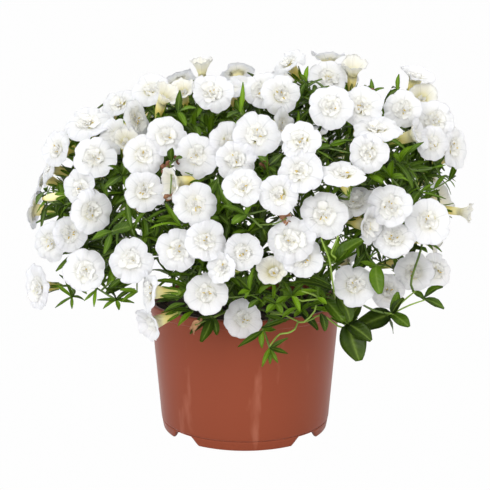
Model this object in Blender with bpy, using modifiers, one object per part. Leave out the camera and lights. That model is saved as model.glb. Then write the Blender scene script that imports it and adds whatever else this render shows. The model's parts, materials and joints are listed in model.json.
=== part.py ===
"""A double white calibrachoa in a round plastic pot: pot, soil, leafy stems and groups of blooms.

Metres, +Z up. The origin is on the surface that the pot stands on, under the middle of the pot.
Each leafy stem is one solid with its branches, leaves, buds and calyces. Blooms that touch one
another are one solid too.
"""

import math
import random
from dataclasses import dataclass

import bmesh
import bpy
import numpy as np
from mathutils import Matrix, Vector, noise
from mathutils.bvhtree import BVHTree

MM = 0.001
GAP = 0.3 * MM
UP = Vector((0, 0, 1))

# Pot
RIM_RADIUS = 70.0 * MM
POT_HEIGHT = 94.5 * MM
LIP_HEIGHT = 6.7 * MM
LIP_OVERHANG = 1.5 * MM
WALL = 1.7 * MM
BODY_FOOT_RADIUS = 61.8 * MM
FOOT_RADIUS = 60.4 * MM
FOOT_HEIGHT = 6.6 * MM
SEAM_DEPTH = 0.9 * MM
SEAM_HEIGHT = 0.6 * MM
FLOOR_TOP = 9.2 * MM
NOTCH_WIDTH_TOP = 15.0 * MM
NOTCH_WIDTH_FOOT = 26.0 * MM
DRAIN_RADIUS = 5.0 * MM
DRAIN_CIRCLE = 38.0 * MM
DRAINS = 4
POT_SIDES = 32

# Soil
SOIL_TOP = 86.0 * MM
SOIL_LUMP = 1.6 * MM
SOIL_SIDES = 20

# Leafy stems
STEMS = 10
STEM_SEED = 11
HOLE_DEPTH = 15.0 * MM
HOLE_RADIUS = 2.6 * MM
STEM_RADIUS = 2.0 * MM
STEM_TIP_RADIUS = 1.2 * MM
TWIG_RADIUS = 0.85 * MM
TWIG_START_RADIUS = 0.5 * MM
CALYX_RADIUS = 2.5 * MM
CALYX_LENGTH = 6.5 * MM
BUD_RADIUS = 2.6 * MM
HOLE_NEAR = 8.0 * MM
HOLE_FAR = 40.0 * MM
STEM_TURN = math.radians(20)
STEM_STEEP = 0.92
STEM_LOW = -0.30
STEM_REACH = 0.66
TWIG_LIMITS = (22.0 * MM, 60.0 * MM)
TRIES = 60
LOAD_COST = 1.2 * MM
CLEARANCE = 0.5 * MM
ROOT_ROOM = 7.0 * MM
LEAF_THICKNESS = 1.2 * MM
LEAF_ROOT = 0.4 * MM
LEAF_ARCH = 0.06
NARROW_LEAF = 6.5 * MM
LEAF_SPACING = 11.0 * MM
LEAF_LENGTHS = (15.0 * MM, 25.0 * MM)
LEAF_WIDTHS = (5.0 * MM, 8.0 * MM)
RULE_LEAVES = 54

# Crown: the rounded outline that the blooms sit on
CROWN_WIDE = 152.0 * MM
CROWN_DEEP = 138.0 * MM
CROWN_MIDDLE = Vector((0, 3.0 * MM, 166.0 * MM))
CROWN_ABOVE = 92.0 * MM
CROWN_BELOW = 74.0 * MM
CROWN_LEAN = 0.08
CROWN_POWER = 2.6

# Blooms
TUBE_LENGTH = 17.0 * MM
TUBE_END_RADIUS = 1.9 * MM
NOTCH = 0.87
RUFFLE_RADIUS = 0.46
RUFFLE_RISE = 2.0 * MM
THROAT = 0.36
FUNNEL_STAND = 1.6
FULLEST_GROUP = 13
BLOOM_SEED = 5
SETTLE_STEP = 2.0 * MM
SETTLE_STEPS = 10
ALONE_COST = 20
FILL_DIRECTIONS = 230
FILL_SPACING = 31.0 * MM
FILL_WIDTHS = (27.0 * MM, 33.0 * MM)

# The eye that the picture's points are measured from, and its scale in pixels
EYE = Vector((0, -750.0 * MM, 266.6 * MM))
EYE_PITCH = math.radians(10.06)
EYE_FOCAL = 1053.0
PICTURE_MIDDLE = 245.0

# Blooms that the picture shows: across and down (pixels), width (mm), turn to the right and lift
# of the face from the line of sight (degrees), set back behind the crown (mm), and opening
SEEN_BLOOMS = (
    (88, 122, 34, -15, 52, 0, 1.0),
    (56, 149, 27, -48, 8, 0, 1.0),
    (95, 157, 28, 0, 10, 0, 1.0),
    (143, 155, 27, 5, 8, 0, 1.0),
    (144, 192, 27, 8, 0, 0, 1.0),
    (119, 103, 27, -30, 38, 26, 1.0),
    (137, 119, 28, 50, 12, 14, 1.0),
    (150, 89, 27, -20, 30, 0, 1.0),
    (163, 100, 19, 42, 45, -4, 0.45),
    (166, 136, 26, 6, 12, 4, 1.0),
    (213, 92, 29, 6, 34, 0, 1.0),
    (202, 72, 17, -10, 78, 0, 0.4),
    (198, 154, 29, -4, 5, 0, 1.0),
    (229, 143, 27, 20, 4, 20, 1.0),
    (256, 135, 31, -6, 20, -2, 1.0),
    (262, 90, 27, -8, 15, 6, 1.0),
    (281, 95, 27, 8, 10, 0, 1.0),
    (288, 62, 27, -50, 48, 4, 1.0),
    (283, 126, 26, 58, 0, 14, 1.0),
    (301, 137, 26, -4, 12, 0, 1.0),
    (331, 107, 29, 0, 14, -2, 1.0),
    (362, 106, 28, 14, 12, 12, 1.0),
    (328, 60, 25, 0, 98, 0, 0.8),
    (325, 78, 28, 6, 20, 18, 1.0),
    (353, 73, 19, 10, 58, 4, 0.45),
    (415, 75, 27, 38, 66, 4, 0.8),
    (403, 109, 27, 6, 8, 0, 1.0),
    (434, 118, 30, 14, 8, 0, 1.0),
    (422, 99, 21, 10, 30, 14, 0.6),
    (377, 128, 32, 4, 68, 4, 1.0),
    (415, 138, 24, 72, 18, 0, 0.7),
    (368, 153, 26, -6, 4, -4, 1.0),
    (456, 150, 30, 58, 2, 0, 0.9),
    (433, 143, 25, 28, 6, 22, 1.0),
    (300, 172, 29, 0, 16, 0, 1.0),
    (343, 173, 31, 6, 58, 0, 1.0),
    (235, 160, 27, -6, 16, 8, 1.0),
    (243, 187, 26, 2, 24, -2, 1.0),
    (279, 194, 25, 6, 8, 4, 1.0),
    (324, 215, 31, 4, 12, -4, 1.0),
    (390, 206, 28, 4, 4, -2, 1.0),
    (355, 202, 28, -10, 42, 14, 1.0),
    (369, 228, 26, 52, -8, 4, 0.8),
    (395, 238, 28, 4, 34, 0, 1.0),
    (428, 221, 31, 12, 6, 0, 1.0),
    (462, 212, 15, 78, -6, -16, 0.45),
    (291, 240, 31, -6, 8, 0, 1.0),
    (303, 258, 27, 8, 4, -6, 1.0),
    (273, 272, 19, -8, 12, 2, 0.6),
    (243, 252, 24, 0, 6, 2, 1.0),
    (80, 188, 26, -34, 6, 4, 1.0),
    (92, 212, 30, 24, -6, -2, 1.0),
    (49, 242, 29, -42, 2, 4, 1.0),
    (70, 234, 25, -16, 0, 18, 1.0),
    (37, 287, 34, -60, 0, 10, 1.0),
    (84, 271, 29, -12, 4, -4, 1.0),
    (130, 260, 30, -22, 0, -2, 1.0),
    (150, 292, 28, -72, 2, -14, 0.9),
    (155, 326, 24, -58, -20, -34, 0.7),
    (174, 251, 28, -6, 6, 0, 1.0),
    (207, 244, 27, 6, 10, 2, 1.0),
    (197, 207, 29, 4, 4, 0, 1.0),
    (221, 268, 21, -34, 4, 4, 1.0),
    (206, 293, 28, -2, 12, -4, 1.0),
    (243, 319, 26, 4, -4, -12, 1.0),
    (354, 285, 29, 2, 20, -6, 1.0),
    (388, 291, 26, 18, 10, 12, 1.0),
    (414, 272, 28, 2, 8, 0, 1.0),
    (436, 271, 26, 24, 6, 10, 1.0),
    (126, 143, 17, 4, 30, 10, 0.5),
    (176, 182, 20, -58, -6, 8, 0.6),
    (118, 135, 26, -10, 20, 26, 1.0),
    (186, 92, 16, -8, 38, 10, 0.5),
)

# Leafy shoots that the picture shows: across and down of the shoot's head (pixels), set back (mm),
# then the tips of its leaves: across, down (pixels) and leaf width (mm)
SEEN_SHOOTS = (
    ((72, 297), 0, ((55, 308, 3), (72, 309, 3), (56, 285, 4), (84, 300, 3))),
    ((96, 290), -4, ((94, 307, 3), (84, 301, 3), (108, 279, 4))),
    ((116, 300), -6, ((97, 300, 3.5), (103, 309, 3.5), (119, 310, 4), (105, 288, 4))),
    ((137, 292), -6, ((121, 302, 4), (138, 310, 4), (120, 290, 5), (148, 280, 5))),
    ((112, 232), 4, ((134, 226, 12), (92, 240, 8), (104, 254, 6))),
    ((64, 204), 12, ((53, 202, 8), (58, 183, 6), (46, 193, 4))),
    ((122, 176), 6, ((104, 189, 7), (128, 158, 8), (108, 166, 6))),
    ((178, 112), 2, ((180, 90, 6), (164, 124, 6), (196, 108, 5), (186, 126, 6))),
    ((240, 112), 2, ((243, 82, 4), (226, 118, 6), (236, 100, 5))),
    ((246, 216), -4, ((222, 206, 5), (226, 199, 5), (263, 189, 5), (279, 207, 6), (232, 224, 8))),
    ((262, 228), 8, ((266, 240, 12), (250, 232, 10), (276, 214, 9))),
    ((250, 290), -4, ((236, 277, 7), (268, 286, 6), (254, 268, 4), (238, 294, 5))),
    ((292, 296), -4, ((279, 290, 5), (284, 281, 5), (304, 284, 5), (282, 301, 5), (300, 312, 5))),
    ((300, 312), 0, ((286, 300, 5), (312, 300, 5), (318, 330, 7))),
    ((262, 331), -8, ((238, 347, 6), (236, 342, 4), (262, 348, 5), (276, 330, 6))),
    ((270, 348), -10, ((288, 338, 5), (288, 354, 5), (278, 363, 4), (270, 364, 4), (262, 367, 4))),
    ((212, 318), -8, ((201, 342, 9), (217, 335, 7), (190, 334, 8), (196, 322, 7), (228, 330, 7))),
    ((192, 312), -6, ((178, 326, 5), (184, 300, 5), (172, 312, 5))),
    ((176, 300), -4, ((152, 309, 5), (170, 286, 5), (190, 288, 6), (194, 274, 5))),
    ((326, 300), -6, ((344, 322, 11), (312, 286, 7), (300, 282, 6))),
    ((336, 262), -6, ((363, 240, 11), (322, 244, 8), (348, 250, 6))),
    ((348, 324), -14, ((359, 361, 18), (371, 341, 12), (349, 334, 6), (330, 318, 6), (362, 302, 10))),
    ((392, 314), -8, ((354, 330, 18), (409, 327, 10), (404, 298, 8), (398, 292, 8))),
    ((424, 299), -4, ((444, 309, 9), (443, 287, 8), (412, 291, 6))),
    ((376, 266), 0, ((398, 250, 11), (380, 294, 10), (412, 246, 8), (360, 262, 6))),
    ((391, 178), 4, ((371, 169, 5), (378, 164, 5), (393, 160, 6), (404, 176, 6), (408, 184, 7))),
    ((400, 162), 8, ((392, 152, 5), (412, 146, 6), (424, 142, 6))),
    ((432, 168), 4, ((401, 171, 6), (434, 142, 6), (446, 165, 2.5))),
    ((420, 192), 6, ((433, 184, 3), (412, 204, 8), (446, 199, 2.5), (436, 190, 3))),
    ((368, 176), 4, ((352, 188, 7), (384, 184, 6), (372, 162, 6))),
    ((330, 146), 6, ((314, 150, 7), (346, 142, 6), (334, 162, 7))),
    ((268, 166), 6, ((258, 156, 6), (282, 154, 7), (276, 172, 6))),
    ((172, 162), 6, ((160, 168, 7), (182, 158, 7), (172, 148, 6))),
    ((372, 96), 8, ((371, 79, 4), (384, 88, 5))),
    ((398, 90), 8, ((399, 74, 4), (388, 96, 5))),
    ((306, 82), 8, ((308, 66, 4), (300, 74, 4), (296, 110, 6))),
    ((428, 244), 4, ((442, 252, 2.5), (414, 242, 3), (433, 250, 3))),
)

# Buds that the picture shows: across and down of base and of tip (pixels), set back (mm)
SEEN_BUDS = (
    (64, 195, 42, 199, 0),
    (165, 272, 141, 272, -8),
    (184, 283, 161, 281, -8),
    (196, 303, 180, 298, -12),
    (246, 214, 236, 214, -6),
    (113, 174, 111, 160, 4),
)


@dataclass
class Bloom:
    """A bloom: where its petals meet, the way it looks, its width, its spin and how open it is.

    It may be moved along slide, and in steps sideways, to settle among the others. Its tube runs
    the way that back points.
    """

    centre: Vector
    face: Vector
    width: float
    spin: float
    opening: float
    slide: Vector
    sideways: tuple
    back: Vector = None

    def root(self):
        return self.centre + self.back * TUBE_LENGTH


@dataclass
class Branch:
    """A stretch of stem: the points it runs through and its radius at each."""

    points: list
    radii: list


@dataclass
class Leaf:
    base: Vector
    tip: Vector
    up: Vector
    width: float


@dataclass
class LeafyStem:
    """Everything that grows from one hole in the soil."""

    hole: Vector
    branches: list
    leaves: list
    buds: list


def sight_line(across, down):
    """The direction from the eye through a point of the picture."""
    ahead = Vector((0, math.cos(EYE_PITCH), -math.sin(EYE_PITCH)))
    over = Vector((0, math.sin(EYE_PITCH), math.cos(EYE_PITCH)))
    line = ahead * EYE_FOCAL + over * (PICTURE_MIDDLE - down)
    return (line + Vector((across - PICTURE_MIDDLE, 0, 0))).normalized()


def crown_level(point):
    """How far out a point is: 1 on the crown, less inside it."""
    off = point - CROWN_MIDDLE
    rise = off.z - CROWN_LEAN * off.x
    tall = CROWN_ABOVE if rise > 0 else CROWN_BELOW
    out = math.hypot(off.x / CROWN_WIDE, off.y / CROWN_DEEP)
    return out**CROWN_POWER + (abs(rise) / tall) ** CROWN_POWER


def seen_on_crown(across, down, set_back):
    """Where the line of sight through a picture point first meets the crown, or passes nearest it."""
    line = sight_line(across, down)
    reach = [0.5 + 0.002 * step for step in range(200)]
    inside = [away for away in reach if crown_level(EYE + away * line) < 1]
    away = inside[0] if inside else min(reach, key=lambda a: crown_level(EYE + a * line))
    return EYE + (away + set_back * MM) * line


def looking(point, turn, lift):
    """A direction given by its turn to the right and its lift from the line back to the eye."""
    toward = (EYE - point).normalized()
    right = UP.cross(toward).normalized()
    over = toward.cross(right)
    turn, lift = math.radians(turn), math.radians(lift)
    level = toward * math.cos(turn) + right * math.sin(turn)
    return (level * math.cos(lift) + over * math.sin(lift)).normalized()


def seen_blooms(rng):
    blooms = []
    for across, down, width, turn, lift, set_back, opening in SEEN_BLOOMS:
        centre = seen_on_crown(across, down, set_back)
        face = looking(centre, turn, lift)
        slide = (centre - EYE).normalized()
        blooms.append(Bloom(centre, face, width * MM, rng.uniform(0, 72), opening, slide, (2,)))
    return blooms


def crown_point(direction):
    """The crown's point in a direction from its middle."""
    near, far = 0.0, 0.3
    while far - near > 0.0002:
        half = (near + far) / 2
        if crown_level(CROWN_MIDDLE + direction * half) < 1:
            near = half
        else:
            far = half
    return CROWN_MIDDLE + direction * near


def spiral_direction(index, count):
    """Directions spread evenly over a ball, from its top down."""
    height = 1 - 2 * (index + 0.5) / count
    turn = index * math.pi * (3 - math.sqrt(5))
    out = math.sqrt(1 - height * height)
    return Vector((out * math.cos(turn), out * math.sin(turn), height))


def hidden_from_the_eye(point):
    """Behind the crown's middle, on top of it, or round its sides, so that no seen bloom is doubled."""
    on_top = point.y > -62 * MM and point.z > 232 * MM
    at_side = point.y > -22 * MM and abs(point.x) > 118 * MM
    return point.y > 10 * MM or on_top or at_side


def fill_blooms(blooms, rng):
    """Blooms for the sides, the back and the top, spaced as those in the picture are."""
    filled = []
    for index in range(FILL_DIRECTIONS):
        direction = spiral_direction(index, FILL_DIRECTIONS)
        sunk = rng.uniform(0, 10) * MM
        width = rng.uniform(*FILL_WIDTHS)
        tilt = Vector([rng.uniform(-0.35, 0.35) for _ in range(3)])
        spin = rng.uniform(0, 72)
        opening = 0.55 if rng.random() < 0.08 else 1.0
        centre = crown_point(direction) - direction * sunk
        if centre.z < 104 * MM or not hidden_from_the_eye(centre):
            continue
        if min((centre - other.centre).length for other in blooms + filled) < FILL_SPACING:
            continue
        level = Vector((direction.x, direction.y, 0)).normalized()
        face = (direction + 0.45 * UP + 0.35 * level + tilt).normalized()
        filled.append(Bloom(centre, face, width, spin, opening, direction, (2, 5, 8, 11)))
    return filled


def across_and_over(face, spin):
    """Two directions square to a bloom's face."""
    aside = face.orthogonal().normalized()
    aside = Matrix.Rotation(math.radians(spin), 3, face) @ aside
    return aside, face.cross(aside)


def bloom_cage(bloom, push=0.0):
    """Corners and triangles of a bloom: five lobes, a raised ruffle and a tapering tube."""
    radius = bloom.width / 2
    stand = (1 - bloom.opening) * radius * FUNNEL_STAND
    aside, over = across_and_over(bloom.face, bloom.spin)

    def ring(count, out, height):
        places = []
        for step in range(count):
            turn = 2 * math.pi * step / count
            reach = out * (NOTCH if count == 10 and step % 2 else 1)
            level = height + (0.5 * MM if count == 10 and step % 2 else 0)
            flat = aside * math.cos(turn) * reach + over * math.sin(turn) * reach
            places.append(bloom.centre + flat + bloom.face * (level + push))
        return places

    corners = ring(10, radius, stand)
    corners += ring(5, radius * RUFFLE_RADIUS, RUFFLE_RISE + 0.5 * stand)
    corners += ring(5, radius * THROAT, -1.8 * MM)
    bend = (-bloom.face).rotation_difference(bloom.back)
    end_middle = bloom.centre + bloom.face * push + bloom.back * TUBE_LENGTH
    for step in range(3):
        turn = 2 * math.pi * step / 3
        out = aside * math.cos(turn) + over * math.sin(turn)
        corners.append(end_middle + bend @ out * TUBE_END_RADIUS)
    faces = [(10, 11, 12), (10, 12, 13), (10, 13, 14), (20, 22, 21)]
    for lobe in range(5):
        here, notch, there = 2 * lobe, 2 * lobe + 1, (2 * lobe + 2) % 10
        after = (lobe + 1) % 5
        top, top_after = 10 + lobe, 10 + after
        low, low_after = 15 + lobe, 15 + after
        end, end_after = 20 + (lobe + 1) // 2, 20 + (after + 1) // 2
        faces += [(here, notch, top), (notch, there, top_after), (notch, top_after, top)]
        faces += [(notch, here, low), (there, notch, low_after), (notch, low, low_after)]
        faces += [(low, end_after, low_after)]
        if end != end_after:
            faces += [(low, end, end_after)]
    return corners, faces


def bloom_tree(bloom, push=0.0):
    return BVHTree.FromPolygons(*bloom_cage(bloom, push))


def touched(bloom, placed):
    """The placed blooms that a bloom meets, and those that it meets deeply enough to join."""
    trees = [bloom_tree(bloom, push * MM) for push in (-0.6, -0.3, 0, 0.3, 0.6)]
    near, joined = [], []
    for index, (other, tree) in enumerate(placed):
        if (other.centre - bloom.centre).length > TUBE_LENGTH + 24 * MM:
            continue
        meets = [bool(each.overlap(tree)) for each in trees]
        if any(meets):
            near.append(index)
        if all(meets[1:4]):
            joined.append(index)
    return near, joined


def back_ways(face):
    """Straight back from a face, then bent off that all round."""
    aside, over = across_and_over(face, 0)
    ways = [-face]
    for tilt in (20, 36, 52):
        for turn in range(0, 360, 45):
            off = aside * math.cos(math.radians(turn)) + over * math.sin(math.radians(turn))
            ways.append(off * math.sin(math.radians(tilt)) - face * math.cos(math.radians(tilt)))
    return ways


def calyx_places(bloom):
    root = bloom.root()
    return np.array([[*(root + bloom.back * out), CALYX_RADIUS] for out in (0, CALYX_LENGTH)])


def bend_back(bloom, room):
    """Turns a bloom's tube so that its calyx is clear of the other blooms. The cost, if it can."""
    for step, way in enumerate(back_ways(bloom.face)):
        bloom.back = way
        places = calyx_places(bloom)
        if room.clear_of_blooms(places, None) and clear_of_pot(places):
            return 0 if step == 0 else 2 + step // 8
    return None


def settled(blooms):
    """Each bloom slid a little so that it either joins one small group or stands clear of all."""
    placed, group, waiting = [], [], list(blooms)
    room, calyxes = Room(), np.zeros((0, 4))
    offsets = sorted(range(-SETTLE_STEPS, SETTLE_STEPS + 1), key=abs)
    while waiting:
        bloom = min(waiting, key=lambda each: nearest_distance(each, placed))
        waiting.remove(bloom)
        home = bloom.centre
        best = None
        for offset in offsets:
            for sideways in side_steps(bloom, home, placed):
                bloom.centre = home + bloom.slide * (offset * SETTLE_STEP) + sideways
                rank = abs(offset) + sideways.length / SETTLE_STEP
                if best is not None and rank >= best[0]:
                    continue
                bent = bend_back(bloom, room)
                if bent is None or strikes(calyxes, [bloom]).any():
                    continue
                near, joined = touched(bloom, placed)
                met = {group[index] for index in near}
                size = sum(number in met for number in group) + 1
                if size > FULLEST_GROUP or met != {group[index] for index in joined}:
                    continue
                rank += bent + (0 if met else ALONE_COST)
                if best is None or rank < best[0]:
                    best = (rank, bloom.centre.copy(), bloom.back.copy(), met)
        if best is None:
            continue
        bloom.centre, bloom.back = best[1:3]
        placed.append((bloom, bloom_tree(bloom)))
        room.blooms.append(bloom)
        calyxes = np.vstack([calyxes, calyx_places(bloom)])
        number = len(placed)
        group = [number if each in best[3] else each for each in group] + [number]
    return [bloom for bloom, _ in placed], group


def nearest_distance(bloom, placed):
    return min(((bloom.centre - other.centre).length for other, _ in placed), default=0)


def side_steps(bloom, home, placed):
    """Steps towards the nearest bloom, for one whose place the picture doesn't fix."""
    steps = [Vector((0, 0, 0))]
    if placed:
        nearest = min(placed, key=lambda pair: (pair[0].centre - home).length)[0]
        pull = nearest.centre - home
        pull = (pull - bloom.slide * pull.dot(bloom.slide)).normalized()
        steps += [pull * (step * MM) for step in bloom.sideways]
    return steps


def stem_hole(index):
    """Where a stem leaves the soil: the later the stem, the further out and the lower it leans."""
    share = index / (STEMS - 1)
    turn = index * math.pi * (3 - math.sqrt(5)) + STEM_TURN
    out = HOLE_NEAR + (HOLE_FAR - HOLE_NEAR) * share
    return Vector((out * math.cos(turn), out * math.sin(turn), SOIL_TOP))


def stem_direction(index):
    """The way a stem leans, from the crown's middle."""
    share = index / (STEMS - 1)
    turn = index * math.pi * (3 - math.sqrt(5)) + STEM_TURN
    height = STEM_STEEP + (STEM_LOW - STEM_STEEP) * share
    out = math.sqrt(1 - height * height)
    return Vector((out * math.cos(turn), out * math.sin(turn), height))


def curve_point(start, first, last, end, share):
    """A point of the smooth curve that leaves start towards first and reaches end from last."""
    back = 1 - share
    leaving = start * back**3 + first * (3 * back * back * share)
    arriving = last * (3 * back * share * share) + end * share**3
    return leaving + arriving


def main_branch(index):
    hole, lean = stem_hole(index), stem_direction(index)
    end = CROWN_MIDDLE + (crown_point(lean) - CROWN_MIDDLE) * STEM_REACH
    start = hole + UP * 4 * MM
    first, last = start + UP * 26 * MM, end - lean * 34 * MM
    points = [hole + UP * (GAP - HOLE_DEPTH)]
    points += [curve_point(start, first, last, end, step / 4) for step in range(5)]
    radii = [STEM_RADIUS + (STEM_TIP_RADIUS - STEM_RADIUS) * step / 5 for step in range(6)]
    return Branch(points, radii)


def along(points, spacing):
    """Evenly spaced places and headings along a run of points."""
    found = []
    for here, there in zip(points, points[1:]):
        count = max(1, round((there - here).length / spacing))
        heading = (there - here).normalized()
        found += [(here.lerp(there, (step + 0.5) / count), heading) for step in range(count)]
    return found


def strikes(places, blooms):
    """Which places come within reach of which blooms' petals, and of which blooms' tubes."""
    if not len(places) or not blooms:
        return np.zeros((2, len(places), len(blooms)), bool)
    faces = np.array([bloom.face for bloom in blooms])
    radii = np.array([bloom.width / 2 for bloom in blooms])
    stands = (1 - np.array([bloom.opening for bloom in blooms])) * radii * FUNNEL_STAND
    backs = np.array([bloom.back for bloom in blooms]) * TUBE_LENGTH
    offset = places[:, None, :3] - np.array([bloom.centre for bloom in blooms])
    room = places[:, None, 3] + CLEARANCE
    height = (offset * faces).sum(2)
    out = np.sqrt(np.maximum((offset**2).sum(2) - height**2, 0))
    petals = (out < radii + room) & (height > -2.4 * MM - room)
    petals &= height < RUFFLE_RISE + stands + room
    share = np.clip((offset * backs).sum(2) / TUBE_LENGTH**2, 0, 1)
    away = np.sqrt(((offset - share[..., None] * backs) ** 2).sum(2))
    tube = radii * THROAT + (TUBE_END_RADIUS - radii * THROAT) * share
    return np.array([petals, away < tube + room])


class Room:
    """The space that blooms, stems and leaves take, so that what grows later stays clear of it."""

    def __init__(self, blooms=()):
        self.blooms = list(blooms)
        self.places = [np.zeros((0, 4)) for _ in range(STEMS)]

    def add(self, stem, places):
        self.places[stem] = np.vstack([self.places[stem], places])

    def clear_of_blooms(self, places, own):
        """Clear of all the blooms, but for the tube of the bloom that the places lead to."""
        petals, tubes = strikes(places, self.blooms)
        if own is not None:
            tubes[:, own] = False
        return not (petals | tubes).any()

    def clear_of_stems(self, places, stem, root):
        """Clear of the other stems, and past the root clear of the same stem."""
        others = [held for index, held in enumerate(self.places) if index != stem]
        if meets(places, np.vstack(others)):
            return False
        own = self.places[stem]
        past_root = np.linalg.norm(own[:, :3] - root, axis=1) > ROOT_ROOM
        out_there = np.linalg.norm(places[:, :3] - root, axis=1) > ROOT_ROOM / 2
        return not meets(places[out_there], own[past_root])

    def allows(self, places, stem, root, own=None):
        return (
            clear_of_pot(places)
            and self.clear_of_blooms(places, own)
            and self.clear_of_stems(places, stem, root)
        )


def meets(places, others):
    if not len(places) or not len(others):
        return False
    apart = np.sqrt(((places[:, None, :3] - others[:, :3]) ** 2).sum(2))
    return bool((apart < places[:, None, 3] + others[:, 3] + CLEARANCE).any())


def clear_of_pot(places):
    out = np.hypot(places[:, 0], places[:, 1])
    low = places[:, 2] - places[:, 3] < POT_HEIGHT + 1 * MM
    outside = out - places[:, 3] > RIM_RADIUS + 1 * MM
    over_soil = (out + places[:, 3] < RIM_RADIUS - LIP_OVERHANG - WALL - 2 * MM) & (
        places[:, 2] - places[:, 3] > SOIL_TOP + SOIL_LUMP + 1 * MM
    )
    return bool((~low | outside | over_soil).all())


def branch_places(points, radius):
    return np.array([[*place, radius] for place, _ in along(points, 2.5 * MM)])


class Plant:
    """Grows the stems out to the blooms, shoots and buds."""

    def __init__(self, blooms):
        self.room = Room(blooms)
        self.stems = []
        self.spots = []
        for index in range(STEMS):
            branch = main_branch(index)
            self.stems.append(LeafyStem(stem_hole(index), [branch], [], []))
            self.keep(index, branch.points[1:], 0.0)

    def keep(self, stem, points, run):
        """Remembers a branch, as something to stay clear of and as something to branch from."""
        self.room.add(stem, branch_places(points, TWIG_RADIUS * 1.4))
        for place, heading in along(points, 5 * MM):
            run += 5 * MM
            self.spots.append((place, heading, stem, run))

    def cost(self, spot, end):
        place, heading, stem, run = spot
        away = end - place
        reach = max(away.length, 1 * MM)
        backward = 1 - heading.dot(away) / reach
        outward = max(0.0, crown_level(place) - crown_level(end))
        crowded = LOAD_COST * len(self.stems[stem].branches)
        close = 80 * max(0, 9 * MM - reach)
        return reach + 14 * MM * backward + 0.15 * run + 60 * MM * outward + close + crowded

    def grow_to(self, end, arrive, own, flare):
        """A twig from the best place on the stems to an end that it reaches in a given direction."""
        neck = end - arrive * flare if flare else end
        for spot in sorted(self.spots, key=lambda each: self.cost(each, neck))[:TRIES]:
            place, heading, stem, run = spot
            for bow in (0.36, 0.2, 0.55):
                reach = (neck - place).length * bow
                lean = (heading * 0.5 + (neck - place).normalized() * 0.9).normalized()
                shape = (place, place + lean * reach, neck - arrive * reach, neck)
                count = 1 + sum((neck - place).length > limit for limit in TWIG_LIMITS)
                points = [curve_point(*shape, step / count) for step in range(count + 1)]
                places = branch_places(points, TWIG_RADIUS)[1:]
                if flare:
                    places = np.vstack([places, branch_places([neck, end], CALYX_RADIUS)])
                if not self.room.allows(places, stem, place, own):
                    continue
                self.keep(stem, points, run)
                return stem, points
        return None

    def reach_bloom(self, bloom, number):
        end = bloom.root() + bloom.back * GAP
        grown = self.grow_to(end, -bloom.back, number, CALYX_LENGTH)
        if grown is None:
            raise ValueError("no stem reaches a bloom")
        stem, points = grown
        radii = twig_radii(points) + [CALYX_RADIUS]
        self.stems[stem].branches.append(Branch([*points, end], radii))
        self.room.add(stem, branch_places([points[-1], end], CALYX_RADIUS))

    def reach_shoot(self, head, arrive):
        grown = self.grow_to(head, arrive, None, 0)
        if grown is None:
            return None
        stem, points = grown
        self.stems[stem].branches.append(Branch(points, twig_radii(points)))
        return stem

    def add_leaf(self, stem, leaf):
        """Adds a leaf if there is room for it."""
        places = leaf_places(leaf)
        if not self.room.allows(places, stem, leaf.base):
            return False
        self.stems[stem].leaves.append(leaf)
        self.room.add(stem, places)
        return True

    def add_bud(self, base, tip):
        """Adds a bud on a twig of its own if there is room for it."""
        places = branch_places([base, tip], BUD_RADIUS)
        if meets(places, np.vstack(self.room.places)) or not self.room.clear_of_blooms(places, None):
            return
        stem = self.reach_shoot(base, (tip - base).normalized())
        if stem is not None:
            self.stems[stem].buds.append((base, tip))
            self.room.add(stem, places)


def twig_radii(points):
    """A twig starts thin inside the branch that bears it, and is even past that."""
    return [TWIG_START_RADIUS] + [TWIG_RADIUS] * (len(points) - 1)


def leaf_places(leaf):
    """Places over a leaf's blade, past its root."""
    run = leaf.tip - leaf.base
    side = run.cross(leaf.up).normalized()
    top = side.cross(run).normalized()
    places = []
    for share in (0.2, 0.35, 0.5, 0.65, 0.8, 1.0):
        half = leaf.width / 2 * math.sin(math.pi * min(0.95, share + 0.05))
        rise = LEAF_ARCH * run.length * 4 * share * (1 - share)
        spine = leaf.base + run * share + top * rise
        places += [[*(spine + side * half * across), 1.0 * MM] for across in (-1, 0, 1)]
    return np.array(places)


def leaf_between(head, tip, width, lean):
    """A leaf whose root is sunk into the stem at its head."""
    run = (tip - head).normalized()
    up = (lean - run * lean.dot(run)).normalized()
    return Leaf(head - run * LEAF_ROOT, tip, up, width)


def grow_seen_shoots(plant, rng):
    for (across, down), set_back, tips in SEEN_SHOOTS:
        head = seen_on_crown(across, down, set_back)
        away = (head - EYE).length
        ends = []
        for tip_across, tip_down, width in tips:
            depth = away + rng.uniform(-9, 5) * MM
            ends.append((EYE + sight_line(tip_across, tip_down) * depth, width * MM))
        middle = sum((end for end, _ in ends), Vector()) / len(ends)
        outward = (head - Vector((0, 0, SOIL_TOP))).normalized()
        stem = plant.reach_shoot(head, ((middle - head).normalized() + outward).normalized())
        if stem is None:
            continue
        for end, width in ends:
            toward = (EYE - head).normalized()
            plant.add_leaf(stem, leaf_between(head, end, width, toward * 0.8 + UP))


def grow_seen_buds(plant):
    for across, down, tip_across, tip_down, set_back in SEEN_BUDS:
        base = seen_on_crown(across, down, set_back)
        away = (base - EYE).length
        tip = EYE + sight_line(tip_across, tip_down) * away
        plant.add_bud(base, tip)


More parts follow.
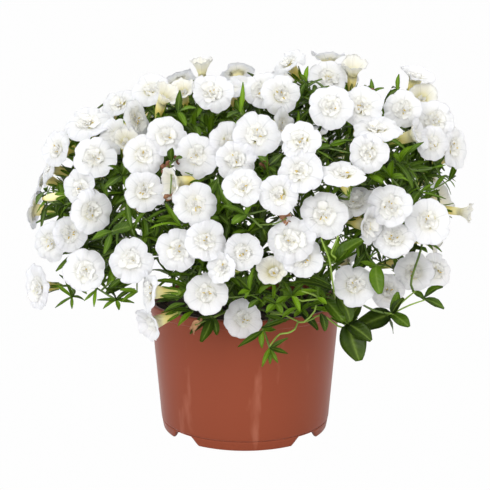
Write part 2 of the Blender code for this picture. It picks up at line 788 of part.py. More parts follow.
def grow_rule_leaves(plant, rng):
    """Leaves in turn round every branch, where there is room, up to the number wanted."""
    wanted = []
    for stem, leafy in enumerate(plant.stems):
        for branch in leafy.branches:
            turn = rng.uniform(0, 2 * math.pi)
            skip = branch.radii[-1] == CALYX_RADIUS
            points = branch.points[:-1] if skip else branch.points
            for place, heading in along(points, LEAF_SPACING):
                turn += math.radians(137.5)
                if place.z < SOIL_TOP + 10 * MM:
                    continue
                size = (rng.uniform(*LEAF_LENGTHS), rng.uniform(*LEAF_WIDTHS))
                wanted.append((stem, place, heading, turn, size))
    rng.shuffle(wanted)
    count = 0
    for stem, place, heading, turn, (length, width) in wanted:
        if count == RULE_LEAVES:
            break
        for again in range(5):
            aside, over = across_and_over(heading, math.degrees(turn) + 72 * again)
            way = (aside + heading * 0.55 + UP * 0.25).normalized()
            leaf = leaf_between(place, place + way * length, width, heading * 0.7 + UP)
            if plant.add_leaf(stem, leaf):
                count += 1
                break


def grown_plant(blooms):
    """The stems with everything on them. The bloom nearest to what has grown is reached next."""
    rng = random.Random(STEM_SEED)
    plant = Plant(blooms)
    waiting = list(range(len(blooms)))
    while waiting:
        places = np.array([spot[0] for spot in plant.spots])
        roots = np.array([blooms[number].root() for number in waiting])
        apart = ((roots[:, None] - places) ** 2).sum(2).min(1)
        number = waiting.pop(int(apart.argmin()))
        plant.reach_bloom(blooms[number], number)
    grow_seen_shoots(plant, rng)
    grow_seen_buds(plant)
    grow_rule_leaves(plant, rng)
    return plant.stems


def colour(name, rgb, roughness):
    material = bpy.data.materials.new(name)
    material.use_nodes = True
    shader = material.node_tree.nodes["Principled BSDF"]
    shader.inputs["Base Color"].default_value = (*rgb, 1)
    shader.inputs["Roughness"].default_value = roughness
    return material


def pot_plastic():
    return colour("terracotta_plastic", (0.30, 0.085, 0.040), 0.42)


def potting_soil():
    return colour("potting_soil", (0.030, 0.018, 0.012), 0.95)


def leaf_green():
    return colour("leaf_green", (0.060, 0.160, 0.020), 0.55)


def petal_white():
    return colour("petal_white", (0.86, 0.86, 0.90), 0.60)


def new_object(name, mesh, collection, material=None):
    piece = bpy.data.objects.new(name, mesh)
    collection.objects.link(piece)
    if material:
        mesh.materials.clear()
        mesh.materials.append(material)
    return piece


def mesh_of(name, corners, faces):
    mesh = bpy.data.meshes.new(name)
    mesh.from_pydata([tuple(corner) for corner in corners], [], faces)
    mesh.validate()
    return mesh


def cut(piece, cutter):
    boolean = piece.modifiers.new("cut_" + cutter.name, "BOOLEAN")
    boolean.operation = "DIFFERENCE"
    boolean.object = cutter


def as_cutter(piece):
    piece.hide_render = True
    piece.display_type = "WIRE"
    return piece


def make_pot(parts, cutters):
    inner_top = RIM_RADIUS - LIP_OVERHANG - WALL
    body_top = RIM_RADIUS - LIP_OVERHANG
    lip_low = POT_HEIGHT - LIP_HEIGHT
    seam_top = FOOT_HEIGHT + SEAM_HEIGHT
    profile = [
        (RIM_RADIUS - 0.5 * MM, POT_HEIGHT),
        (RIM_RADIUS, POT_HEIGHT - 0.7 * MM),
        (RIM_RADIUS - 0.1 * MM, lip_low),
        (body_top, lip_low),
        (BODY_FOOT_RADIUS, seam_top),
        (BODY_FOOT_RADIUS - SEAM_DEPTH, FOOT_HEIGHT),
        (FOOT_RADIUS, 0),
        (FOOT_RADIUS - WALL, 0),
        (BODY_FOOT_RADIUS - SEAM_DEPTH - WALL, FOOT_HEIGHT + 0.2 * MM),
        (0, FOOT_HEIGHT + 0.2 * MM),
        (0, FLOOR_TOP),
        (BODY_FOOT_RADIUS - WALL, FLOOR_TOP),
        (inner_top, POT_HEIGHT),
    ]
    mesh = bpy.data.meshes.new("pot")
    edges = [(step, (step + 1) % len(profile)) for step in range(len(profile)) if step != 9]
    mesh.from_pydata([(out, 0, height) for out, height in profile], edges, [])
    pot = new_object("pot", mesh, parts, pot_plastic())
    screw = pot.modifiers.new("turn", "SCREW")
    screw.steps = screw.render_steps = POT_SIDES
    screw.use_merge_vertices = True
    screw.merge_threshold = 0.00001
    for quarter in range(4):
        cut(pot, foot_notch(quarter, cutters))
    for number in range(DRAINS):
        cut(pot, drain_hole(number, cutters))
    return pot


def foot_notch(quarter, cutters):
    """A gap between two feet, wider at the surface than under the wall."""
    maker = bmesh.new()
    bmesh.ops.create_cube(maker, size=1)
    for corner in maker.verts:
        top = corner.co.z > 0
        corner.co.x = 63 * MM if corner.co.x > 0 else 55 * MM
        corner.co.y *= NOTCH_WIDTH_TOP if top else NOTCH_WIDTH_FOOT
        corner.co.z = FOOT_HEIGHT - 0.1 * MM if top else -1 * MM
    turn = Matrix.Rotation(math.radians(45 + 90 * quarter), 4, "Z")
    bmesh.ops.transform(maker, matrix=turn, verts=maker.verts)
    mesh = bpy.data.meshes.new(f"foot_notch_{quarter}")
    maker.to_mesh(mesh)
    maker.free()
    return as_cutter(new_object(mesh.name, mesh, cutters))


def upright_cutter(name, place, radius, low, high, sides, cutters):
    maker = bmesh.new()
    bmesh.ops.create_cone(
        maker, cap_ends=True, segments=sides, radius1=radius, radius2=radius, depth=high - low
    )
    mesh = bpy.data.meshes.new(name)
    maker.to_mesh(mesh)
    maker.free()
    cutter = as_cutter(new_object(name, mesh, cutters))
    cutter.location = (place.x, place.y, (low + high) / 2)
    return cutter


def drain_hole(number, cutters):
    turn = 2 * math.pi * number / DRAINS
    place = Vector((DRAIN_CIRCLE * math.cos(turn), DRAIN_CIRCLE * math.sin(turn), 0))
    return upright_cutter(f"drain_{number}", place, DRAIN_RADIUS, 3 * MM, 13 * MM, 8, cutters)


def make_soil(parts, cutters):
    """The root ball: a plug of soil with a lumpy top and a plain hole for each stem."""
    low_out = BODY_FOOT_RADIUS - WALL - 2 * GAP
    slope = (RIM_RADIUS - LIP_OVERHANG - BODY_FOOT_RADIUS) / POT_HEIGHT
    top_out = low_out + slope * (SOIL_TOP - FLOOR_TOP) - GAP
    profile = [(0, SOIL_TOP), (24 * MM, SOIL_TOP), (46 * MM, SOIL_TOP), (top_out, SOIL_TOP - 1.5 * MM)]
    profile += [(low_out, FLOOR_TOP + GAP), (0, FLOOR_TOP + GAP)]
    mesh = bpy.data.meshes.new("soil")
    mesh.from_pydata([(out, 0, high) for out, high in profile], [(n, n + 1) for n in range(5)], [])
    soil = new_object("soil", mesh, parts, potting_soil())
    screw = soil.modifiers.new("turn", "SCREW")
    screw.steps = screw.render_steps = SOIL_SIDES
    screw.use_merge_vertices = True
    screw.merge_threshold = 0.00001
    apply_modifiers(soil)
    for corner in soil.data.vertices:
        if corner.co.z > SOIL_TOP - 5 * MM:
            corner.co.z += SOIL_LUMP * (noise.noise(corner.co * 70) - 0.3)
    for index in range(STEMS):
        hole = stem_hole(index)
        low, high = SOIL_TOP - HOLE_DEPTH, SOIL_TOP + 6 * MM
        cut(soil, upright_cutter(f"stem_hole_{index:02d}", hole, HOLE_RADIUS, low, high, 6, cutters))
    return soil


def apply_modifiers(piece):
    """Replaces a piece's mesh by what its modifiers make of it."""
    graph = bpy.context.evaluated_depsgraph_get()
    graph.update()
    mesh = bpy.data.meshes.new_from_object(piece.evaluated_get(graph))
    piece.modifiers.clear()
    old = piece.data
    piece.data = mesh
    mesh.name = piece.name
    bpy.data.meshes.remove(old)


def tube_mesh(name, branch, sides):
    """A stem through a branch's points, with a flat end at each end of it."""
    corners, faces = [], []
    points = branch.points
    aside = None
    for step, (point, radius) in enumerate(zip(points, branch.radii)):
        before, after = points[max(step - 1, 0)], points[min(step + 1, len(points) - 1)]
        heading = (after - before).normalized()
        aside = aside or heading.orthogonal()
        aside = (aside - heading * aside.dot(heading)).normalized()
        over = heading.cross(aside)
        for side in range(sides):
            turn = 2 * math.pi * side / sides
            corners.append(point + (aside * math.cos(turn) + over * math.sin(turn)) * radius)
    for step in range(len(points) - 1):
        low, high = step * sides, (step + 1) * sides
        for side in range(sides):
            after = (side + 1) % sides
            faces.append((low + side, low + after, high + after, high + side))
    faces.append(tuple(reversed(range(sides))))
    faces.append(tuple(range(len(corners) - sides, len(corners))))
    return mesh_of(name, corners, faces)


def leaf_mesh(name, leaf):
    """A narrow blade, arched and thickest along its middle, that thins to its edges."""
    run = leaf.tip - leaf.base
    side = run.cross(leaf.up).normalized()
    top = side.cross(run).normalized()

    def place(share, across, rise):
        arch = LEAF_ARCH * run.length * 4 * share * (1 - share)
        return leaf.base + run * share + side * (across * leaf.width / 2) + top * (arch + rise)

    half = LEAF_THICKNESS / 2
    outline = [(0, 0), (0.36, 1), (0.72, 0.82), (1, 0), (0.72, -0.82), (0.36, -1)]
    if leaf.width < NARROW_LEAF:
        outline = [(0, 0), (0.45, 1), (1, 0), (0.45, -1)]
    corners = [place(share, across, 0) for share, across in outline]
    corners += [place(0.5, 0, half), place(0.5, 0, -half)]
    faces = []
    for step in range(len(outline)):
        after = (step + 1) % len(outline)
        faces += [(step, after, len(outline)), (after, step, len(outline) + 1)]
    return mesh_of(name, corners, faces)


def bud_mesh(name, base, tip):
    """A long bud, widest towards its tip."""
    run = tip - base
    points = [base - run * 0.12, base + run * 0.25, base + run * 0.75, tip]
    return tube_mesh(name, Branch(points, [1.0 * MM, 1.7 * MM, BUD_RADIUS, 1.0 * MM]), 4)


def joined(name, meshes, parts, material):
    """One solid from overlapping meshes, by a Boolean union on a collection."""
    scraps = bpy.data.collections.new(name + "_pieces")
    bpy.context.scene.collection.children.link(scraps)
    first, *others = meshes
    piece = new_object(name, first, parts, material)
    for number, mesh in enumerate(others):
        new_object(f"{name}_piece_{number}", mesh, scraps)
    if others:
        union = piece.modifiers.new("join", "BOOLEAN")
        union.operation = "UNION"
        union.operand_type = "COLLECTION"
        union.collection = scraps
        union.solver = "MANIFOLD"
        apply_modifiers(piece)
    for scrap in list(scraps.objects):
        mesh = scrap.data
        bpy.data.objects.remove(scrap)
        bpy.data.meshes.remove(mesh)
    bpy.data.collections.remove(scraps)
    keep_outer_skin(piece)
    piece.data.materials.clear()
    piece.data.materials.append(material)
    piece.data.shade_flat()
    return piece


def keep_outer_skin(piece):
    """Drops loose scraps and the skins of sealed hollows, so that one closed body is left."""
    body = bmesh.new()
    body.from_mesh(piece.data)
    bmesh.ops.dissolve_limit(
        body, angle_limit=math.radians(0.5), verts=body.verts, edges=body.edges
    )
    bmesh.ops.triangulate(body, faces=body.faces)
    waiting, skins = set(body.faces), []
    while waiting:
        skin, edge = set(), [waiting.pop()]
        while edge:
            face = edge.pop()
            skin.add(face)
            for near in {other for line in face.edges for other in line.link_faces}:
                if near in waiting:
                    waiting.remove(near)
                    edge.append(near)
        skins.append(skin)
    skins.sort(key=len)
    for skin in skins[:-1]:
        bmesh.ops.delete(body, geom=list(skin), context="FACES")
    body.to_mesh(piece.data)
    body.free()


def make_leafy_stem(number, stem, parts, material):
    meshes = []
    for index, branch in enumerate(stem.branches):
        meshes.append(tube_mesh(f"branch_{index}", branch, 4 if index == 0 else 3))
    meshes += [leaf_mesh(f"leaf_{index}", leaf) for index, leaf in enumerate(stem.leaves)]
    meshes += [bud_mesh(f"bud_{index}", *bud) for index, bud in enumerate(stem.buds)]
    return joined(f"leafy_stem_{number:02d}", meshes, parts, material)


def make_bloom_groups(blooms, group, parts, material):
    """One solid for each group of blooms that touch."""
    for number, wanted in enumerate(sorted(set(group))):
        cages = [bloom_cage(bloom) for bloom, each in zip(blooms, group) if each == wanted]
        meshes = [mesh_of(f"bloom_{index}", *cage) for index, cage in enumerate(cages)]
        joined(f"blooms_{number:02d}", meshes, parts, material)


def clear_scene():
    for old in list(bpy.data.objects):
        bpy.data.objects.remove(old)


def main():
    clear_scene()
    parts = bpy.data.collections.new("calibrachoa")
    cutters = bpy.data.collections.new("cutters")
    for collection in (parts, cutters):
        bpy.context.scene.collection.children.link(collection)
    rng = random.Random(BLOOM_SEED)
    seen = seen_blooms(rng)
    blooms, group = settled(seen + fill_blooms(seen, rng))
    stems = grown_plant(blooms)
    make_pot(parts, cutters)
    make_soil(parts, cutters)
    green, white = leaf_green(), petal_white()
    for number, stem in enumerate(stems):
        make_leafy_stem(number, stem, parts, green)
    make_bloom_groups(blooms, group, parts, white)


if __name__ == "__main__":
    main()
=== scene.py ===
"""The looks of a double white calibrachoa in a round plastic pot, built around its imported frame.

The places of the blooms, stems and leaves come from the same seeded rules as the solids that they
replace. Each group of blooms and each leafy stem is one fine piece, in metres, +Z up.
"""

import json
import math
import random
from dataclasses import dataclass

import bpy
import numpy as np
from mathutils import Matrix, Vector, noise
from mathutils.bvhtree import BVHTree

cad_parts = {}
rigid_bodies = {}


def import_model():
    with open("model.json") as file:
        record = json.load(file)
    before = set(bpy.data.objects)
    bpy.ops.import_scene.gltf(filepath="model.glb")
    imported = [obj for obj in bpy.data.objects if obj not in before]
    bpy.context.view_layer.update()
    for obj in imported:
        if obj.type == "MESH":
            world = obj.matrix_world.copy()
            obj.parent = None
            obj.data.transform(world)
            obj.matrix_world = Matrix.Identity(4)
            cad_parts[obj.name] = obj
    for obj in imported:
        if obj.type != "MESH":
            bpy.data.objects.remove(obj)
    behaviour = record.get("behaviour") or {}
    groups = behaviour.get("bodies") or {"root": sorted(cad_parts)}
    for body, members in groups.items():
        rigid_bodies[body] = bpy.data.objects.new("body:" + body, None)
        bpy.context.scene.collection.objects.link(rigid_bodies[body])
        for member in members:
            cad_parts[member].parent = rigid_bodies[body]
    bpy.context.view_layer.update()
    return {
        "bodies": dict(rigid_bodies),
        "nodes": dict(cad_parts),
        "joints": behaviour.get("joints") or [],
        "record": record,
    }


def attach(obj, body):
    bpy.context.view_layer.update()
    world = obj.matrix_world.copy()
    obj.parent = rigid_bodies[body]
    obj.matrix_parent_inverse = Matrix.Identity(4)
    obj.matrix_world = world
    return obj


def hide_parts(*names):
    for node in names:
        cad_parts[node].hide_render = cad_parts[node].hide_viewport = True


MM = 0.001
GAP = 0.3 * MM
UP = Vector((0, 0, 1))
GOLDEN_TURN = math.pi * (3 - math.sqrt(5))
GOLDEN_DEGREES = 137.5

# Pot
RIM_RADIUS = 70.0 * MM
POT_HEIGHT = 94.5 * MM
LIP_HEIGHT = 6.7 * MM
LIP_OVERHANG = 1.5 * MM
WALL = 1.7 * MM
BODY_FOOT_RADIUS = 61.8 * MM
FOOT_RADIUS = 60.4 * MM
FOOT_HEIGHT = 6.6 * MM
SEAM_DEPTH = 0.9 * MM
SEAM_HEIGHT = 0.6 * MM
FLOOR_TOP = 9.2 * MM
NOTCH_WIDTH_TOP = 15.0 * MM
NOTCH_WIDTH_FOOT = 26.0 * MM
DRAIN_RADIUS = 5.0 * MM
DRAIN_CIRCLE = 38.0 * MM
DRAINS = 4

# Soil
SOIL_TOP = 86.0 * MM
SOIL_LUMP = 1.6 * MM

# Leafy stems
STEMS = 10
STEM_SEED = 11
HOLE_DEPTH = 15.0 * MM
STEM_RADIUS = 2.0 * MM
STEM_TIP_RADIUS = 1.2 * MM
TWIG_RADIUS = 0.85 * MM
TWIG_START_RADIUS = 0.5 * MM
CALYX_RADIUS = 2.5 * MM
CALYX_LENGTH = 6.5 * MM
BUD_RADIUS = 2.6 * MM
HOLE_NEAR = 8.0 * MM
HOLE_FAR = 40.0 * MM
STEM_TURN = math.radians(20)
STEM_STEEP = 0.92
STEM_LOW = -0.30
STEM_REACH = 0.66
TWIG_LIMITS = (22.0 * MM, 60.0 * MM)
TRIES = 60
BOWS = (0.36, 0.2, 0.55)
SPOT_STEP = 5.0 * MM
PLACE_STEP = 2.5 * MM
# What makes a place on the stems a poor one to branch from, besides its distance
LOAD_COST = 1.2 * MM
BACKWARD_COST = 14.0 * MM
OUTWARD_COST = 60.0 * MM
RUN_COST = 0.15
TOO_CLOSE = 9.0 * MM
CLOSE_COST = 80
CLEARANCE = 0.5 * MM
ROOT_ROOM = 7.0 * MM
LEAF_ROOT = 0.4 * MM
LEAF_ARCH = 0.06
LEAF_SPACING = 11.0 * MM
LEAF_LENGTHS = (15.0 * MM, 25.0 * MM)
LEAF_WIDTHS = (5.0 * MM, 8.0 * MM)
RULE_LEAVES = 54
RULE_LEAF_RISE = 10.0 * MM
LEAF_TRIES = 5
SHOOT_DEPTHS = (-9, 5)
TOWARD_EYE = 0.8

# Crown: the rounded outline that the blooms sit on
CROWN_WIDE = 152.0 * MM
CROWN_DEEP = 138.0 * MM
CROWN_MIDDLE = Vector((0, 3.0 * MM, 166.0 * MM))
CROWN_ABOVE = 92.0 * MM
CROWN_BELOW = 74.0 * MM
CROWN_LEAN = 0.08
CROWN_POWER = 2.6
CROWN_FURTHEST = 0.3
CROWN_EXACT = 0.0002

# Places that the eye doesn't see are behind HIDDEN_BACK, behind and above the two numbers of
# HIDDEN_TOP, or behind and further out than the two of HIDDEN_SIDE
HIDDEN_BACK = 10.0 * MM
HIDDEN_TOP = (-62.0 * MM, 232.0 * MM)
HIDDEN_SIDE = (-22.0 * MM, 118.0 * MM)

# Blooms
TUBE_LENGTH = 17.0 * MM
TUBE_END_RADIUS = 1.9 * MM
NOTCH = 0.87
RUFFLE_RADIUS = 0.46
RUFFLE_RISE = 2.0 * MM
THROAT = 0.36
THROAT_SINK = 1.8 * MM
PETALS_BEHIND = 2.4 * MM
NOTCH_RISE = 0.5 * MM
LOBE_DEGREES = 72
TUBE_TILTS = (20, 36, 52)
TUBE_WAYS = 8
FUNNEL_STAND = 1.6
FULLEST_GROUP = 13
BLOOM_SEED = 5
SETTLE_STEP = 2.0 * MM
SETTLE_STEPS = 10
ALONE_COST = 20
BENT_COST = 2
PUSHES = (-0.6, -0.3, 0, 0.3, 0.6)
TOUCH_REACH = 24.0 * MM
SEEN_SIDEWAYS = (2,)
FILL_SIDEWAYS = (2, 5, 8, 11)
FILL_DIRECTIONS = 230
FILL_SPACING = 31.0 * MM
FILL_WIDTHS = (27.0 * MM, 33.0 * MM)
FILL_SUNK = (0, 10)
FILL_TILT = 0.35
FILL_LIFT = 0.45
FILL_LEAN = 0.35
FILL_LOWEST = 104.0 * MM
FILL_HALF_OPEN = 0.08
FILL_OPENING = 0.55

# The eye that the picture's points are measured from, and its scale in pixels
EYE = Vector((0, -750.0 * MM, 266.6 * MM))
EYE_PITCH = math.radians(10.06)
EYE_FOCAL = 1053.0
PICTURE_MIDDLE = 245.0
SIGHT_START = 500.0 * MM
SIGHT_STEP = 2.0 * MM
SIGHT_STEPS = 200

# Blooms that the picture shows: across and down (pixels), width (mm), turn to the right and lift
# of the face from the line of sight (degrees), set back behind the crown (mm), and opening
SEEN_BLOOMS = (
    (88, 122, 34, -15, 52, 0, 1.0),
    (56, 149, 27, -48, 8, 0, 1.0),
    (95, 157, 28, 0, 10, 0, 1.0),
    (143, 155, 27, 5, 8, 0, 1.0),
    (144, 192, 27, 8, 0, 0, 1.0),
    (119, 103, 27, -30, 38, 26, 1.0),
    (137, 119, 28, 50, 12, 14, 1.0),
    (150, 89, 27, -20, 30, 0, 1.0),
    (163, 100, 19, 42, 45, -4, 0.45),
    (166, 136, 26, 6, 12, 4, 1.0),
    (213, 92, 29, 6, 34, 0, 1.0),
    (202, 72, 17, -10, 78, 0, 0.4),
    (198, 154, 29, -4, 5, 0, 1.0),
    (229, 143, 27, 20, 4, 20, 1.0),
    (256, 135, 31, -6, 20, -2, 1.0),
    (262, 90, 27, -8, 15, 6, 1.0),
    (281, 95, 27, 8, 10, 0, 1.0),
    (288, 62, 27, -50, 48, 4, 1.0),
    (283, 126, 26, 58, 0, 14, 1.0),
    (301, 137, 26, -4, 12, 0, 1.0),
    (331, 107, 29, 0, 14, -2, 1.0),
    (362, 106, 28, 14, 12, 12, 1.0),
    (328, 60, 25, 0, 98, 0, 0.8),
    (325, 78, 28, 6, 20, 18, 1.0),
    (353, 73, 19, 10, 58, 4, 0.45),
    (415, 75, 27, 38, 66, 4, 0.8),
    (403, 109, 27, 6, 8, 0, 1.0),
    (434, 118, 30, 14, 8, 0, 1.0),
    (422, 99, 21, 10, 30, 14, 0.6),
    (377, 128, 32, 4, 68, 4, 1.0),
    (415, 138, 24, 72, 18, 0, 0.7),
    (368, 153, 26, -6, 4, -4, 1.0),
    (456, 150, 30, 58, 2, 0, 0.9),
    (433, 143, 25, 28, 6, 22, 1.0),
    (300, 172, 29, 0, 16, 0, 1.0),
    (343, 173, 31, 6, 58, 0, 1.0),
    (235, 160, 27, -6, 16, 8, 1.0),
    (243, 187, 26, 2, 24, -2, 1.0),
    (279, 194, 25, 6, 8, 4, 1.0),
    (324, 215, 31, 4, 12, -4, 1.0),
    (390, 206, 28, 4, 4, -2, 1.0),
    (355, 202, 28, -10, 42, 14, 1.0),
    (369, 228, 26, 52, -8, 4, 0.8),
    (395, 238, 28, 4, 34, 0, 1.0),
    (428, 221, 31, 12, 6, 0, 1.0),
    (462, 212, 15, 78, -6, -16, 0.45),
    (291, 240, 31, -6, 8, 0, 1.0),
    (303, 258, 27, 8, 4, -6, 1.0),
    (273, 272, 19, -8, 12, 2, 0.6),
    (243, 252, 24, 0, 6, 2, 1.0),
    (80, 188, 26, -34, 6, 4, 1.0),
    (92, 212, 30, 24, -6, -2, 1.0),
    (49, 242, 29, -42, 2, 4, 1.0),
    (70, 234, 25, -16, 0, 18, 1.0),
    (37, 287, 34, -60, 0, 10, 1.0),
    (84, 271, 29, -12, 4, -4, 1.0),
    (130, 260, 30, -22, 0, -2, 1.0),
    (150, 292, 28, -72, 2, -14, 0.9),
    (155, 326, 24, -58, -20, -34, 0.7),
    (174, 251, 28, -6, 6, 0, 1.0),
    (207, 244, 27, 6, 10, 2, 1.0),
    (197, 207, 29, 4, 4, 0, 1.0),
    (221, 268, 21, -34, 4, 4, 1.0),
    (206, 293, 28, -2, 12, -4, 1.0),
    (243, 319, 26, 4, -4, -12, 1.0),
    (354, 285, 29, 2, 20, -6, 1.0),
    (388, 291, 26, 18, 10, 12, 1.0),
    (414, 272, 28, 2, 8, 0, 1.0),
    (436, 271, 26, 24, 6, 10, 1.0),
    (126, 143, 17, 4, 30, 10, 0.5),
    (176, 182, 20, -58, -6, 8, 0.6),
    (118, 135, 26, -10, 20, 26, 1.0),
    (186, 92, 16, -8, 38, 10, 0.5),
)

# Leafy shoots that the picture shows: across and down of the shoot's head (pixels), set back (mm),
# then the tips of its leaves: across, down (pixels) and leaf width (mm)
SEEN_SHOOTS = (
    ((72, 297), 0, ((55, 308, 3), (72, 309, 3), (56, 285, 4), (84, 300, 3))),
    ((96, 290), -4, ((94, 307, 3), (84, 301, 3), (108, 279, 4))),
    ((116, 300), -6, ((97, 300, 3.5), (103, 309, 3.5), (119, 310, 4), (105, 288, 4))),
    ((137, 292), -6, ((121, 302, 4), (138, 310, 4), (120, 290, 5), (148, 280, 5))),
    ((112, 232), 4, ((134, 226, 12), (92, 240, 8), (104, 254, 6))),
    ((64, 204), 12, ((53, 202, 8), (58, 183, 6), (46, 193, 4))),
    ((122, 176), 6, ((104, 189, 7), (128, 158, 8), (108, 166, 6))),
    ((178, 112), 2, ((180, 90, 6), (164, 124, 6), (196, 108, 5), (186, 126, 6))),
    ((240, 112), 2, ((243, 82, 4), (226, 118, 6), (236, 100, 5))),
    ((246, 216), -4, ((222, 206, 5), (226, 199, 5), (263, 189, 5), (279, 207, 6), (232, 224, 8))),
    ((262, 228), 8, ((266, 240, 12), (250, 232, 10), (276, 214, 9))),
    ((250, 290), -4, ((236, 277, 7), (268, 286, 6), (254, 268, 4), (238, 294, 5))),
    ((292, 296), -4, ((279, 290, 5), (284, 281, 5), (304, 284, 5), (282, 301, 5), (300, 312, 5))),
    ((300, 312), 0, ((286, 300, 5), (312, 300, 5), (318, 330, 7))),
    ((262, 331), -8, ((238, 347, 6), (236, 342, 4), (262, 348, 5), (276, 330, 6))),
    ((270, 348), -10, ((288, 338, 5), (288, 354, 5), (278, 363, 4), (270, 364, 4), (262, 367, 4))),
    ((212, 318), -8, ((201, 342, 9), (217, 335, 7), (190, 334, 8), (196, 322, 7), (228, 330, 7))),
    ((192, 312), -6, ((178, 326, 5), (184, 300, 5), (172, 312, 5))),
    ((176, 300), -4, ((152, 309, 5), (170, 286, 5), (190, 288, 6), (194, 274, 5))),
    ((326, 300), -6, ((344, 322, 11), (312, 286, 7), (300, 282, 6))),
    ((336, 262), -6, ((363, 240, 11), (322, 244, 8), (348, 250, 6))),
    ((348, 324), -14, ((359, 361, 18), (371, 341, 12), (349, 334, 6), (330, 318, 6), (362, 302, 10))),
    ((392, 314), -8, ((354, 330, 18), (409, 327, 10), (404, 298, 8), (398, 292, 8))),
    ((424, 299), -4, ((444, 309, 9), (443, 287, 8), (412, 291, 6))),
    ((376, 266), 0, ((398, 250, 11), (380, 294, 10), (412, 246, 8), (360, 262, 6))),
    ((391, 178), 4, ((371, 169, 5), (378, 164, 5), (393, 160, 6), (404, 176, 6), (408, 184, 7))),
    ((400, 162), 8, ((392, 152, 5), (412, 146, 6), (424, 142, 6))),
    ((432, 168), 4, ((401, 171, 6), (434, 142, 6), (446, 165, 2.5))),
    ((420, 192), 6, ((433, 184, 3), (412, 204, 8), (446, 199, 2.5), (436, 190, 3))),
    ((368, 176), 4, ((352, 188, 7), (384, 184, 6), (372, 162, 6))),
    ((330, 146), 6, ((314, 150, 7), (346, 142, 6), (334, 162, 7))),
    ((268, 166), 6, ((258, 156, 6), (282, 154, 7), (276, 172, 6))),
    ((172, 162), 6, ((160, 168, 7), (182, 158, 7), (172, 148, 6))),
    ((372, 96), 8, ((371, 79, 4), (384, 88, 5))),
    ((398, 90), 8, ((399, 74, 4), (388, 96, 5))),
    ((306, 82), 8, ((308, 66, 4), (300, 74, 4), (296, 110, 6))),
    ((428, 244), 4, ((442, 252, 2.5), (414, 242, 3), (433, 250, 3))),
)

# Buds that the picture shows: across and down of base and of tip (pixels), set back (mm)
SEEN_BUDS = (
    (64, 195, 42, 199, 0),
    (165, 272, 141, 272, -8),
    (184, 283, 161, 281, -8),
    (196, 303, 180, 298, -12),
    (246, 214, 236, 214, -6),
    (113, 174, 111, 160, 4),
)

# Looks
LOOKS_SEED = 7
LOBES = 5
LOBE_TURN = 2 * math.pi / LOBES
COROLLA_START = 0.27
TUBE_BOW = 0.3
SHEET = 0.3 * MM
LEAF_SHEET = 0.35 * MM
LEAF_FOOT = 0.5 * MM
SEPAL_SHEET = 0.4 * MM
POT_ROUND = 256
SHARP = math.radians(50)
INNER_ROUND = 0.8 * MM
LIP_ROUND = 1.2 * MM
UNDER_ROUND = 0.7 * MM
EDGE_ROUND = 0.4 * MM
SEAM_ROUND = 0.5 * MM
SHOOT_SPACING = 10.0 * MM
LEAF_STEP = 5.2 * MM
CORE_STEP = 4.5 * MM
CORE_FULL = 0.66
SHOOT_LENGTHS = (18, 34)
SHOOT_BEND = 0.4
SHOOTS_RISE = 22.0 * MM
TUFT = 4
LEAVES_RISE = 8.0 * MM
LEAF_LEANS = (0.3, 0.9)
LEAF_SHARES = (0.22, 0.36)
FINE_LENGTHS = (11.0 * MM, 21.0 * MM)
CORE_LENGTHS = (18.0 * MM, 27.0 * MM)
CROWN_FULL = 0.92
LEAF_LIMIT = 1.0
COVER_SHARE = 0.96
AT_ONCE = 200
SLIM_LEAF = 6.0 * MM
LARGE_LEAF = 9.0 * MM
DEEPEST_LEAF = 0.42
# Count, then length and width in bloom radii, lean at base and tip, start and layer
ROSETTE = (
    (5, (0.42, 0.50, 26, -2, 0.10, 1)),
    (5, (0.31, 0.42, 36, 6, 0.06, 2)),
    (4, (0.20, 0.32, 52, 22, 0.03, 3)),
    (3, (0.13, 0.24, 76, 60, 0.01, 4)),
)
# Leafless stems low in front: set back (mm), then points across and down (pixels)
LOW_STEMS = (
    (-12, ((338, 326), (322, 315), (312, 319), (304, 322), (297, 321), (284, 315), (270, 314))),
    (-14, ((304, 322), (298, 322), (295, 329), (288, 333), (280, 334), (274, 340), (270, 346))),
    (-8, ((337, 318), (331, 306), (325, 305), (318, 299), (302, 301), (296, 297))),
    (-6, ((322, 303), (316, 296), (302, 291))),
    (-8, ((336, 300), (333, 285), (331, 270), (329, 258), (324, 246), (321, 238))),
    (-7, ((331, 254), (335, 244), (340, 232))),
    (-9, ((392, 314), (410, 305), (425, 300))),
    (-8, ((392, 312), (408, 297), (416, 291))),
)
# Loose leaves low in front: set back (mm), base and tip across and down (pixels), width (mm)
LOW_LEAVES = (
    (-8, ((332, 290), (298, 281), 7)),
    (-8, ((331, 286), (306, 276), 6)),
    (-13, ((321, 314), (325, 331), 7)),
    (-13, ((262, 328), (290, 319), 6)),
    (-9, ((276, 304), (262, 298), 6)),
    (-9, ((276, 304), (288, 297), 6)),
    (-9, ((276, 304), (282, 314), 6)),
    (-9, ((276, 304), (266, 313), 6)),
    (-10, ((302, 310), (312, 303), 5)),
    (-10, ((302, 310), (294, 317), 5)),
    (-10, ((302, 310), (308, 317), 4)),
    (-8, ((318, 298), (327, 304), 5)),
    (-6, ((318, 296), (319, 284), 6)),
    (-6, ((323, 248), (312, 238), 6)),
    (-8, ((337, 296), (350, 322), 12)),
    (-9, ((348, 322), (371, 341), 13)),
    (-9, ((346, 322), (358, 318), 4)),
    (-9, ((330, 314), (345, 325), 4)),
    (-18, ((182, 301), (158, 304), 6)),
    (-18, ((184, 304), (164, 312), 5)),
    (-16, ((180, 298), (160, 296), 5)),
    (-16, ((188, 303), (176, 313), 5)),
    (-16, ((214, 306), (196, 318), 6)),
    (-15, ((262, 318), (240, 312), 6)),
    (-15, ((266, 316), (286, 322), 6)),
    (-14, ((310, 306), (330, 300), 6)),
    (-14, ((312, 308), (334, 312), 5)),
    (-15, ((296, 308), (282, 318), 5)),
    (-14, ((258, 300), (248, 308), 5)),
)
